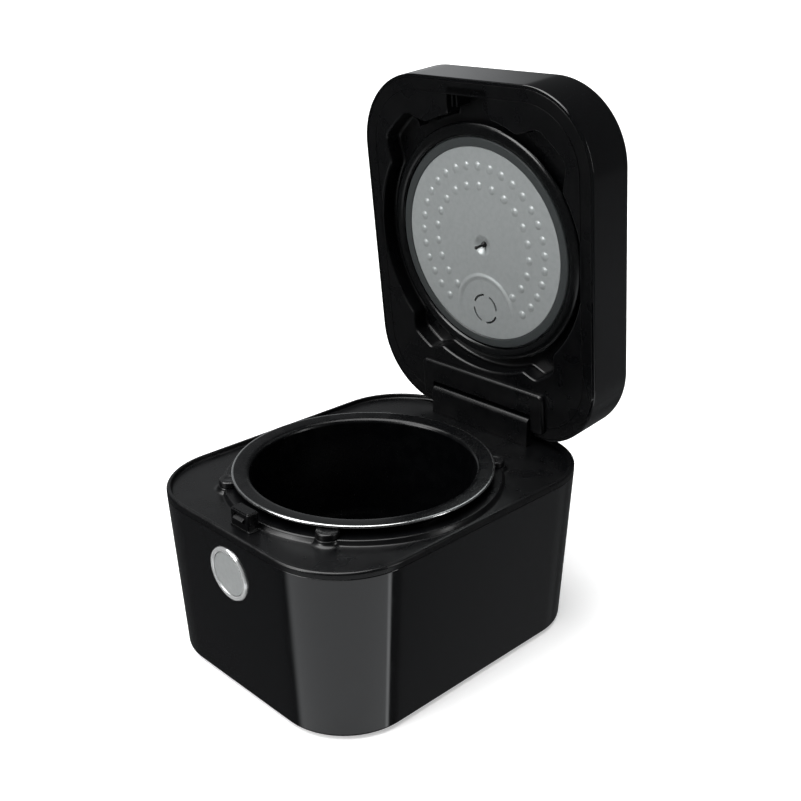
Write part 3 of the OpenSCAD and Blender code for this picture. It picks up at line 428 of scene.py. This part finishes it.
wall_h = SEAM_Z - CASE_Z
SEAM_R = 0.45
FOOT_R = 2.2
profile = [(WALL, SEAM_Z - 3), (WALL, SEAM_Z)]
profile += arc((SEAM_R, SEAM_Z - SEAM_R), SEAM_R, 90, 180, 5)
profile += [(DRAFT * k / 6, SEAM_Z - wall_h * k / 6) for k in range(1, 6)]
foot_m = DRAFT * (1 - FOOT_R / wall_h)
profile += arc((foot_m + FOOT_R, CASE_Z + FOOT_R), FOOT_R, 180, 270, 6)
profile += [(DRAFT + WALL, CASE_Z), (DRAFT + WALL, CASE_Z + 3)]
shell = bmesh.new()
loft(shell, outline_rings(profile))
bmesh.ops.recalc_face_normals(shell, faces=shell.faces)
# The casing's inner skin, so that nothing shows through from below or through the button's hole
loft(shell, outline_rings([(WALL + DRAFT, CASE_Z + 3), (WALL, SEAM_Z - 3)]))
bmesh.ops.remove_doubles(shell, verts=shell.verts, dist=0.001)
casing = raw(shell)
hole = bmesh.new()
lathe(hole, [(0, -12), (BUTTON_HOLE_R, -12), (BUTTON_HOLE_R, 12), (0, 12)], 96)
bmesh.ops.transform(hole, matrix=ON_FRONT, verts=hole.verts)
casing = cut(casing, raw(hole))
inlet_low, inlet_high = box_mm("power_inlet")
socket = bmesh.new()
inlet_x = (inlet_low[0] + inlet_high[0]) / 2
prism(socket, rounded(28.4, 22.4, 1.2, 4, 2, (inlet_x, 40)), 110, 160, lambda x, y, z: (x, z, y))
casing = cut(casing, raw(socket))
add("casing", take(casing), LOOKS["gloss_black"], "base", ["outer_casing"], weld=False)

# Deck: side band, rounded lip, flat deck, collar and the seats of the pads
profile = [(WALL, SEAM_Z + 0.6), (WALL, SEAM_Z + 0.05)]
profile += arc((SEAM_R, SEAM_Z + 0.5), SEAM_R, 270, 180, 5)
profile += arc((1.9, RIM_Z - 1.9), 1.9, 180, 90, 9)
profile += arc((2.7, RIM_Z - 0.9), 0.9, 90, 15, 5)
profile += arc((5.4, DECK_Z + 1.6), 1.6, 180, 270, 6)
bm = bmesh.new()
last = loft(bm, outline_rings(profile))[-1]
UNDER_COLLAR_R = 105
inner = []
for v in last:
    a = math.atan2(v.co.y - POT_Y, v.co.x)
    inner.append(bm.verts.new((UNDER_COLLAR_R * math.cos(a), POT_Y + UNDER_COLLAR_R * math.sin(a), DECK_Z)))
for i in range(len(last)):
    j = (i + 1) % len(last)
    bm.faces.new((last[i], last[j], inner[j], inner[i]))
collar = [(114.0, DECK_Z - 0.02)]
collar += arc((111.3 + 1.6, DECK_Z + 1.6), 1.6, 270, 195, 5)
collar += arc((109.2, DECK_Z + 2.7), 1.3, 0, 90, 6)
collar += [(97.2, DECK_Z + 4.0), (96.5, DECK_Z + 3.8), (96.3, DECK_Z + 2.8), (95.6, DECK_Z + 2.7),
           (95.1, DECK_Z + 2.2), (95.0, DECK_Z - 2.4)]
lathe(bm, collar, 256, (0, POT_Y))
PAD_RING = FLANGE_R + 0.9
PADS = [(-56.5, "pot_pad_front_right"), (236.5, "pot_pad_front_left"), (53, "pot_pad_rear_right"),
        (127, "pot_pad_rear_left")]


def pad_centre(angle):
    a = math.radians(angle)
    return (PAD_RING * math.cos(a), POT_Y + PAD_RING * math.sin(a))


for angle, node in PADS:
    seat = [(14.0, DECK_Z - 0.02)]
    seat += [(9.7 + 4.0 - 4.0 * math.sin(t), DECK_Z + 3.4 - 3.4 * math.cos(t))
             for t in [math.radians(12 * i) for i in range(8)]]
    seat += [(9.5, DECK_Z + 3.75), (9.2, DECK_Z + 3.98), (8.3, DECK_Z + 4.0), (8.1, DECK_Z + 3.2)]
    lathe(bm, seat, 72, pad_centre(angle))
add("deck", bm, LOOKS["satin_black"], "base", ["deck_frame"], angle=38)

for angle, node in PADS:
    top = box_mm(node)[1][2]
    bm = bmesh.new()
    pad = [(8.0, DECK_Z + 3.6), (8.3, DECK_Z + 4.2), (8.75, DECK_Z + 4.6), (8.8, top - 1.5)]
    pad += arc((7.3, top - 1.5), 1.5, 0, 90, 6)[1:]
    pad += [(4.6, top), (4.3, top - 0.12), (3.8, top - 0.4), (0, top - 0.4)]
    lathe(bm, pad, 72, pad_centre(angle))
    add(node + "_piece", bm, LOOKS["grey_rubber"], "base", [node])

# Button
bm = bmesh.new()
lathe(bm, [(17.9, -7.9), (17.9, 0.75)] + arc((18.45, 1.0), 0.5, 200, 90, 5) + [(19.6, 1.72)]
      + arc((20.2, 0.55), 1.2, 90, 0, 6) + [(21.55, 0.3), (21.5, 0.06), (19.2, 0.05), (19.2, -7.9)], 160)
add("bezel", bm, ring_silver, "base", ["button_bezel"], ON_FRONT)
bm = bmesh.new()
lathe(bm, [(0, 0.62), (10, 0.66), (15.6, 0.78), (16.4, 0.84)] + arc((16.9, 0.3), 0.58, 90, 0, 5)
      + [(17.5, -5.9), (5.0, -5.95), (5.0, -19.9), (4.6, -20.0), (0, -20.0)], 160)
add("button", bm, button_face, "button", ["release_button"], ON_FRONT)

# ------------------------------------------------------------------ pot

inside = POT_R - POT_WALL
HEEL_IN = 28
HEEL_OUT = 30
bm = bmesh.new()
profile = [(0, POT_LOW + POT_WALL)]
profile += arc((inside - HEEL_IN, POT_LOW + POT_WALL + HEEL_IN), HEEL_IN, -90, 0, 20)
profile += [(inside, POT_TOP - 30), (inside, POT_TOP - 4.6)]
profile += [(inside + 0.15, POT_TOP - 3.6), (inside + 0.6, POT_TOP - 2.5), (inside + 1.5, POT_TOP - 1.4),
            (inside + 2.8, POT_TOP - 0.85), (inside + 4.6, POT_TOP - 0.6), (FLANGE_R - 4.5, POT_TOP - 0.16),
            (FLANGE_R - 1.8, POT_TOP - 0.03)]
lathe(bm, profile, 256, (0, POT_Y))
profile = [(FLANGE_R - 1.8, POT_TOP - 2.36), (POT_R + 2, POT_TOP - 2.8), (POT_R + 0.6, POT_TOP - 3.6),
           (POT_R, POT_TOP - 5.4), (POT_R, POT_LOW + HEEL_OUT)]
profile += arc((POT_R - HEEL_OUT, POT_LOW + HEEL_OUT), HEEL_OUT, 0, -90, 20)[1:] + [(0, POT_LOW)]
lathe(bm, profile, 256, (0, POT_Y))
add("pot", bm, LOOKS["pot_coating"], "pot", ["inner_pot"])
bm = bmesh.new()
edge = [(FLANGE_R - 1.9, POT_TOP - 0.03)] + arc((FLANGE_R - 1.2, POT_TOP - 1.2), 1.19, 95, -90, 12)
edge += [(FLANGE_R - 1.9, POT_TOP - 2.38)]
lathe(bm, edge, 256, (0, POT_Y))
add("pot_edge", bm, rim_steel, "pot", ["inner_pot"])

# ------------------------------------------------------------------ lid

CROWN_R = 6
PAST_BODY = 160  # half the width of a cutter that runs right through
outer = arc((1, LID_Z + 1), 1, 270, 180, 5)
outer += [(0, LID_Z + 12), (0, LID_Z + 24)]
outer += arc((CROWN_R, LID_TOP - CROWN_R), CROWN_R, 180, 90, 12)
hollow = arc((CROWN_R, LID_TOP - CROWN_R), CROWN_R - WALL, 90, 180, 6) + [(WALL, LID_Z)]


def along_x(across, up, x):
    """Puts a section that is drawn in Y and Z at a place along X."""
    return (x, across, up)


def round_hinge(radius, start, end, count):
    return arc((HINGE_Y, HINGE_Z), radius, start, end, count)


def lid_box():
    box = bmesh.new()
    loft(box, outline_rings(hollow + outer), True, True)
    return raw(box)


def swept(points, half):
    """A closed piece with a section drawn in Y and Z, stretched to half on either side along X."""
    piece = bmesh.new()
    prism(piece, points, -half, half, along_x)
    return raw(piece)


def behind_seam(y):
    """Cutter for what lies behind the lid's seam, drawn from the side."""
    side = [(200, LID_Z - 9), (200, LID_TOP + 9), (y - 9, LID_TOP + 9)]
    return swept(side + arc((y - 9, LID_TOP - 9), 9, 90, 0, 12) + [(y, LID_Z - 9)], PAST_BODY)


def below_heel():
    """Cutter that leaves the lid a round heel about the hinge."""
    return swept(round_hinge(HEEL_R, -90, 0, 24)
                 + [(HINGE_Y + 40, HINGE_Z), (HINGE_Y + 40, HINGE_Z - 30), (HINGE_Y, HINGE_Z - 30)], PAST_BODY)


SEAM_Y = BODY_D / 2 - CORNER + 14.5
SEAM_GAP = 0.4
PANEL_SEAT_W, PANEL_SEAT_D = 118.4, 58.4
VALVE_HOLE_R = 24.3
lid = cut(lid_box(), behind_seam(SEAM_Y))
cutter = bmesh.new()
prism(cutter, rounded(PANEL_SEAT_W, PANEL_SEAT_D, 6, 10, 4, (0, PANEL_Y)), LID_TOP - 1.6, LID_TOP + 5)
lid = cut(lid, raw(cutter))
cutter = bmesh.new()
lathe(cutter, [(0, LID_TOP - 30), (VALVE_HOLE_R, LID_TOP - 30), (VALVE_HOLE_R, LID_TOP + 5), (0, LID_TOP + 5)],
      128, (0, STEAM_Y))
lid = cut(lid, raw(cutter))
add("lid_cover_front", take(lid), LOOKS["gloss_black"], "lid", ["lid_shell"], OPEN, weld=False)

rear = cut(lid_box(), behind_seam(SEAM_Y + SEAM_GAP), "INTERSECT")
rear = cut(rear, below_heel())
add("lid_cover_rear", take(rear), LOOKS["gloss_black"], "lid", ["lid_rear_cover"], OPEN, weld=False)


def smooth(t):
    """0 below 0, 1 above 1, with a soft step between."""
    t = max(0.0, min(1.0, t))
    return t * t * (3 - 2 * t)


# The recess's ears over the pads: middle and half width in degrees, reach, and degrees of blend
EARS = [(-48.5, 16.5, 15.8, 10.0), (228.5, 16.5, 15.8, 10.0), (54.5, 11.5, 10.8, 7.0), (125.5, 11.5, 10.8, 7.0)]


def recess(a):
    """How far the liner's recess reaches from the pot's axis at an angle, in degrees."""
    reach = FLANGE_R + 4.2
    for centre, half, out, blend in EARS:
        off = abs((a - centre + 180) % 360 - 180)
        reach += out * smooth((half - off) / blend)
    off = math.radians(abs((a + 90 + 180) % 360 - 180))
    if off < math.radians(20):
        front = BODY_D / 2 - 9 + POT_Y
        side = 21 / max(math.sin(off), 0.001)
        reach = max(reach, min(front / math.cos(off), side))
    return reach


def edge_at(a, margin):
    """The body's outline at an angle from the pot's axis, drawn in by a margin."""
    dx, dy = math.cos(math.radians(a)), math.sin(math.radians(a))
    r = CORNER - margin
    hx, hy = BODY_W / 2 - margin - r, BODY_D / 2 - margin - r
    low, high = 50.0, 220.0
    for _ in range(26):
        t = (low + high) / 2
        x, y = abs(dx * t), abs(POT_Y + dy * t)
        gap = math.hypot(max(x - hx, 0), max(y - hy, 0)) + min(max(x - hx, y - hy), 0) - r
        low, high = (t, high) if gap < 0 else (low, t)
    return low


STEPS = 900
angles = [360 * i / STEPS - 90.2 for i in range(STEPS)]
reaches = [recess(a) for a in angles]
for _ in range(3):
    reaches = [(reaches[i - 1] + 2 * reaches[i] + reaches[(i + 1) % STEPS]) / 4 for i in range(STEPS)]


def ring_at(kind, amount, z):
    """A ring of the liner that keeps to the body's edge, to the recess, or to a circle."""
    if kind == "edge":
        radii = [edge_at(a, amount) for a in angles]
    elif kind == "recess":
        radii = [r + amount for r in reaches]
    else:
        radii = [amount] * STEPS
    return [(r * math.cos(math.radians(a)), POT_Y + r * math.sin(math.radians(a)), z)
            for a, r in zip(angles, radii)]


edge = [(2.8, 2.4), (2.8, 0.6), (2.95, 0.2), (3.3, 0), (11.6, 0), (11.9, 0.12), (12.0, 0.55), (12.5, 0.6),
        (12.75, 0.12), (13.1, 0)]
plan = [("edge", margin, LID_Z + up) for margin, up in edge]
plan += [("recess", *point) for point in arc((2.0, LID_Z + 2.0), 2.0, 270, 180, 6)]
plan += [("recess", -0.15, LID_Z + 11.6)]
plan += [("recess", -3.0 + 2.85 * math.cos(t), LID_Z + 12 + 3.0 * math.sin(t))
         for t in [math.radians(15 * i) for i in range(1, 7)]]
plan += [("round", 81.0, LID_Z + 15), ("round", 81.0, LID_Z + 16.6), ("recess", 2.0, LID_Z + 16.6),
         ("recess", 2.4, LID_Z + 2.4)]
bm = bmesh.new()
rows = loft(bm, [ring_at(*step) for step in plan])
for i in range(STEPS):
    j = (i + 1) % STEPS
    bm.faces.new((rows[-1][i], rows[-1][j], rows[0][j], rows[0][i]))
liner = raw(bm)


def slab(width, depth, radius, centre, low, high, edge):
    """A block with rounded upright corners and a rounded edge round its lower face."""
    piece = bmesh.new()
    rings = [[(x, y, high) for x, y in rounded(width, depth, radius, 10, 6, centre)]]
    for t in [math.radians(15 * i) for i in range(7)]:
        m = edge - edge * math.cos(t)
        rings.append([(x, y, low + edge - edge * math.sin(t))
                      for x, y in rounded(width - 2 * m, depth - 2 * m, max(radius - m, 0.4), 10, 6, centre)])
    loft(piece, rings, True, True)
    return raw(piece)


# Raised border in front of the hinge, the housing over the tower, and the pocket it swings in
FRONT = HINGE_Y - 36.7
BACK = BODY_D / 2 - 3.1
SWING = math.hypot(TOWER_FRONT, TOWER_UP) + 0.8
border = slab(138, HINGE_Y - FRONT, 5, (0, (HINGE_Y + FRONT) / 2), LID_Z - 4.15, LID_Z + 1.5, 2.6)
housing = swept([(HINGE_Y - SWING - 1.4, LID_Z + 1)] + round_hinge(SWING + 1.5, 180, 78, 20)
                + [(BACK, LID_Z + 27), (BACK, LID_Z + 1)], 57.7)
liner = cut(cut(liner, border, "UNION"), housing, "UNION")
pocket = swept(round_hinge(SWING, 60, 270, 40) + [(HINGE_Y + 12, HINGE_Z - 21), (HINGE_Y + 12, HINGE_Z + 17.9)],
               56.2)
pin_bore = swept(round_hinge(2.6, 0, 345, 23), 66)
for cutter in (pocket, pin_bore, below_heel()):
    liner = cut(liner, cutter)
bm = take(liner)
# Ribs beside the catch, a guide rib in one front ear and a stop in one rear ear
for x in (-16.4, -11.6):
    prism(bm, rounded(1.6, 14, 0.7, 5, 2, (x, -BODY_D / 2 + 15.6)), LID_Z + 1.2, LID_Z + 15.2)
a = math.radians(237.5)
middle = Vector((math.cos(a), math.sin(a))) * (FLANGE_R + 11.6)
turn = Matrix.Rotation(a, 2)
points = [middle + turn @ Vector(q) for q in rounded(13, 3, 1.45, 8, 3)]
prism(bm, [(q.x, q.y + POT_Y) for q in points], LID_Z + 5.2, LID_Z + 15.2)
prism(bm, rounded(5, 5, 0.8, 4, 2, (-62, 74)), LID_Z + 11.5, LID_Z + 15.2)
add("liner", bm, LOOKS["satin_black"], "lid", ["lid_liner"], OPEN, angle=30, weld=False)

# Hinge tower: rounded over its front, open at the back for the spring and the damper
y0, top = HINGE_Y - TOWER_FRONT, HINGE_Z + TOWER_UP
side = [(y0 + 6.2, HINGE_Z - 4.8), (y0 + 6.2, DECK_Z), (y0, DECK_Z)]
side += arc((y0 + 4.2, top - 4.2), 4.2, 180, 90, 10) + arc((HINGE_Y + 2.3, top - 2.5), 2.5, 90, 0, 6)
side += round_hinge(4.8, 0, -90, 12)
tower = swept(side, 55)
tower = cut(tower, swept(round_hinge(2.05, 0, 345, 23), 60))
tower = cut(tower, swept([(HINGE_Y - 5.4, HINGE_Z - 8), (HINGE_Y + 14, HINGE_Z - 8), (HINGE_Y + 14, HINGE_Z + 5.4),
                          (HINGE_Y - 5.4, HINGE_Z + 5.4)], 26))
add("tower", take(tower), LOOKS["satin_black"], "base", ["hinge_tower"], angle=30, bevel=0.9)
polish("latch_housing", "base", 0.35)
polish("latch_arm", "latch", 0.25, segments=2)
polish("lid_catch", "lid", 0.25, look=dark_steel, segments=2)
polish("control_panel", "lid", 0.25)
polish("steam_valve", "valve", 0.3, segments=2)
polish("steam_duct", "lid", 0.2, segments=2)
polish("power_inlet", "base", 0.4, segments=2)
polish("base_plate", "base", 0.2, segments=1)

# Inner plate
bm = bmesh.new()
face = [(2.6, DISC_Z + 3.2), (3.3, DISC_Z + 3.1), (4.6, DISC_Z + 2.55), (6.0, DISC_Z + 1.7), (7.3, DISC_Z + 0.8),
        (8.6, DISC_Z + 0.2), (9.8, DISC_Z)]
back = [(r, z + 1.2) for r, z in reversed(face)]
rim = [(DISC_R - 0.5, DISC_Z), (DISC_R - 0.12, DISC_Z + 0.14), (DISC_R, DISC_Z + 0.5), (DISC_R, DISC_Z + 1.2)]
lathe(bm, face + rim + back + [face[0]], 200, (0, POT_Y))
bmesh.ops.remove_doubles(bm, verts=bm.verts, dist=0.0005)
disc = raw(bm)
for quarter in range(4):
    start = 90 * quarter + 23
    points = arc((0, STEAM_Y), 13.2, start, start + 64, 14) + arc((0, STEAM_Y), 11.4, start + 64, start, 14)
    slit = bmesh.new()
    prism(slit, points, DISC_Z - 4, DISC_Z + 6)
    disc = cut(disc, raw(slit))
bm = take(disc)


def bead(bm, c, r, rise, z, count=28):
    """A low round dimple with a soft foot."""
    shape = [(r + 0.75, z + 0.03), (r + 0.4, z - 0.03 * rise), (r, z - 0.13 * rise), (r * 0.86, z - 0.36 * rise),
             (r * 0.66, z - 0.68 * rise), (r * 0.42, z - 0.9 * rise), (r * 0.2, z - 0.98 * rise), (0, z - rise)]
    lathe(bm, shape, count, c)


# Two rows of dimples, open at the back where the steam slots are
for radius, count in ((DISC_R - 15.3, 27), (DISC_R - 31.3, 19)):
    for i in range(count):
        a = math.radians(-90 - 142 + 284 * i / (count - 1))
        bead(bm, (radius * math.cos(a), POT_Y + radius * math.sin(a)), 3.4, 1.08, DISC_Z)
# Ridge that arches round the steam slots and fades out at both ends
RIDGE_R = 28.6
RIDGE_HALF = 3.6
ridge = []
for i in range(73):
    t = i / 72
    a = math.radians(-205 + 230 * t)
    fade = smooth(min(t, 1 - t) * 4.5)
    rise = 0.95 * fade + 0.02
    ring = []
    for k in range(13):
        s = -1 + 2 * k / 12
        r = RIDGE_R + RIDGE_HALF * s
        z = DISC_Z + 0.03 - rise * 0.5 * (1 + math.cos(math.pi * s))
        ring.append((r * math.cos(a), STEAM_Y + r * math.sin(a), z))
    ridge.append(ring)
limit = DISC_R - 1.6
strips = [[bm.verts.new(p) for p in ring] for ring in ridge]
for a, b in zip(strips, strips[1:]):
    for k in range(12):
        corners = (a[k], a[k + 1], b[k + 1], b[k])
        if all(math.hypot(v.co.x, v.co.y - POT_Y) < limit for v in corners):
            bm.faces.new(corners)
bmesh.ops.delete(bm, geom=[v for v in bm.verts if not v.link_faces], context="VERTS")
add("inner_disc", bm, LOOKS["satin_silver"], "plate", ["inner_plate"], OPEN, weld=False)

RING_R = DISC_R + 7.5
bm = bmesh.new()
lathe(bm, [(DISC_R + 0.2, DISC_Z + 1.2), (DISC_R + 0.2, DISC_Z + 0.1), (DISC_R + 0.7, DISC_Z - 0.5),
           (DISC_R + 1.6, DISC_Z - 0.7), (RING_R - 1.6, DISC_Z - 0.7), (RING_R - 0.5, DISC_Z - 0.45),
           (RING_R, DISC_Z + 0.3), (RING_R, DISC_Z + 3.1), (RING_R + 8, DISC_Z + 3.1), (RING_R + 8, DISC_Z + 4.3),
           (DISC_R - 3, DISC_Z + 4.3), (DISC_R - 3, DISC_Z + 1.2), (DISC_R + 0.2, DISC_Z + 1.2)], 200, (0, POT_Y))
add("disc_ring", bm, LOOKS["ring_plastic"], "plate", ["plate_ring"], OPEN)

GASKET_Z = POT_TOP + 0.3
G_R = FLANGE_R - 3.8
bm = bmesh.new()
profile = [(G_R - 10.3, DISC_Z + 3.1), (G_R - 10.3, GASKET_Z + 2.7)]
profile += [(G_R - 5.15 - 5.15 * math.cos(t), GASKET_Z + 2.7 - 2.7 * math.sin(t))
            for t in [math.radians(10 * i) for i in range(1, 19)]]
profile += [(G_R - 0.5, GASKET_Z + 3.6), (G_R - 2.4, GASKET_Z + 4.4), (G_R - 2.4, DISC_Z + 3.1)]
lathe(bm, profile, 256, (0, POT_Y))
add("gasket", bm, gasket_look, "plate", ["pot_gasket"], OPEN)

# Pin in the middle of the plate, with its round knob
bm = bmesh.new()
profile = [(0, DISC_Z - 8.3)] + arc((0, DISC_Z - 6.8), 1.5, -75, 42, 9)
profile += [(1.1, DISC_Z - 5.4), (1.1, DISC_Z + 0.5), (1.5, DISC_Z + 0.7), (2.2, DISC_Z + 1.5), (2.2, LID_Z + 15),
            (6.2, LID_Z + 15), (6.2, LID_Z + 17.5), (0, LID_Z + 17.5)]
lathe(bm, profile, 48, (0, POT_Y))
add("pin", bm, LOOKS["latch_plastic"], "lid", ["plate_pin"], OPEN)

# ------------------------------------------------------------------ stage, light and camera

floor_mesh = bpy.data.meshes.new("floor")
floor_mesh.from_pydata([(-60, -60, 0), (60, -60, 0), (60, 60, 0), (-60, 60, 0)], [], [(0, 1, 2, 3)])
floor = bpy.data.objects.new("floor", floor_mesh)
bpy.context.scene.collection.objects.link(floor)
floor.location.z = -0.0002
paper = Shader("paper", (0.93, 0.93, 0.93), 0.95, Specular_IOR_Level=0.0)
paper.vary_color(3, (0.915, 0.915, 0.915))
paper.shader.inputs["Emission Color"].default_value = (1, 1, 1, 1)
paper.shader.inputs["Emission Strength"].default_value = 0.42
floor_mesh.materials.append(paper.material)
floor.visible_glossy = False

bpy.context.scene.view_settings.view_transform = "Standard"
world = bpy.data.worlds.new("world")
bpy.context.scene.world = world
world.use_nodes = True
tree = world.node_tree
surround = tree.nodes["Background"]
surround.inputs["Color"].default_value = (0.96, 0.98, 1, 1)


def math_node(operation, *values):
    node = tree.nodes.new("ShaderNodeMath")
    node.operation = operation
    for socket, value in zip(node.inputs, values):
        if isinstance(value, (int, float)):
            socket.default_value = value
        else:
            tree.links.new(value, socket)
    return node.outputs[0]


def window(value, start, rise, end, fall):
    """1 between start and end, with soft shoulders."""
    out = []
    for a, b in ((start - rise, start + rise), (end + fall, end - fall)):
        node = tree.nodes.new("ShaderNodeMapRange")
        node.interpolation_type = "SMOOTHSTEP"
        node.inputs["From Min"].default_value = a
        node.inputs["From Max"].default_value = b
        tree.links.new(value, node.inputs["Value"])
        out.append(node.outputs["Result"])
    return math_node("MULTIPLY", *out)


# A studio's surround: a low reflector for the near corner, and a wall of light behind on the left
facing = tree.nodes.new("ShaderNodeTexCoord").outputs["Generated"]
split = tree.nodes.new("ShaderNodeSeparateXYZ")
tree.links.new(facing, split.inputs[0])
turn_to = math_node("DEGREES", math_node("ARCTAN2", split.outputs[1], split.outputs[0]))
rise_to = math_node("DEGREES", math_node("ARCSINE", split.outputs[2]))
# Each patch: the span of its azimuth and of its height, as (start, rise, end, fall) in degrees, and its power
PATCHES = [((-122, 7, 25, 2.5), (-48, 5, -30, 5), 0.8), ((20, 1.5, 25, 1.5), (-52, 4, -24, 4), 1.0),
           ((45, 10, 78, 10), (-54, 5, -12, 6), 0.07), ((132, 5, 178, 8), (3, 4, 19, 5), 0.42),
           ((141, 8, 178, 8), (22, 6, 42, 8), 0.2)]
total = 0.06
for across, upright, power in PATCHES:
    patch = math_node("MULTIPLY", window(turn_to, *across), window(rise_to, *upright))
    total = math_node("ADD", math_node("MULTIPLY", patch, power), total)
seen = tree.nodes.new("ShaderNodeLightPath").outputs["Is Camera Ray"]
tree.links.new(math_node("ADD", total, math_node("MULTIPLY", seen, 1.4)), surround.inputs["Strength"])


def sun(energy, direction, angle):
    data = bpy.data.lights.new("sun", "SUN")
    data.energy = energy
    data.angle = math.radians(angle)
    data.specular_factor = 0.0
    lamp = bpy.data.objects.new("sun", data)
    bpy.context.scene.collection.objects.link(lamp)
    lamp.rotation_euler = Vector(direction).to_track_quat("-Z", "Y").to_euler()


def softbox(name, place, aim, width, height, energy, specular=1.0):
    data = bpy.data.lights.new(name, "AREA")
    data.shape = "RECTANGLE"
    data.size = width
    data.size_y = height
    data.energy = energy
    data.specular_factor = specular
    lamp = bpy.data.objects.new(name, data)
    bpy.context.scene.collection.objects.link(lamp)
    lamp.location = place
    lamp.rotation_euler = (Vector(aim) - Vector(place)).to_track_quat("-Z", "Y").to_euler()


sun(3.6, (0.15, 0.2, -1), 60)
sun(1.5, (0.25, 1, -0.55), 30)

# The camera that was worked out from the body's parallel edges and the pot's flange
SENSOR = 36
FOCAL = 1.3950936330  # as a share of the picture's width
AWAY = 0.9054
azimuth, elevation, roll = math.radians(46.10), math.radians(22.28), math.radians(-0.52)
target = Vector((-0.00554, 0.03519, 0.19029))
back = Vector((math.sin(azimuth) * math.cos(elevation), -math.cos(azimuth) * math.cos(elevation),
               math.sin(elevation)))
camera_data = bpy.data.cameras.new("camera")
camera_data.sensor_width = SENSOR
camera_data.lens = SENSOR * FOCAL
camera_data.clip_end = 200
camera = bpy.data.objects.new("camera", camera_data)
bpy.context.scene.collection.objects.link(camera)
right = Vector((math.cos(azimuth), math.sin(azimuth), 0))
up = back.cross(right)
basis = Matrix((right, up, back)).transposed() @ Matrix.Rotation(roll, 3, "Z")
camera.matrix_world = Matrix.Translation(target + back * AWAY) @ basis.to_4x4()
bpy.context.scene.camera = camera

# A strip for the deck's rim, and a broad box over the lid
softbox("over box", (-0.6, -1.0, 1.8), (0, 0, 0.2), 1.6, 1.0, 6, 0.5)
softbox("side strip", (2.2, 0.9, 0.9), (0, 0.1, 0.25), 0.25, 1.4, 8)
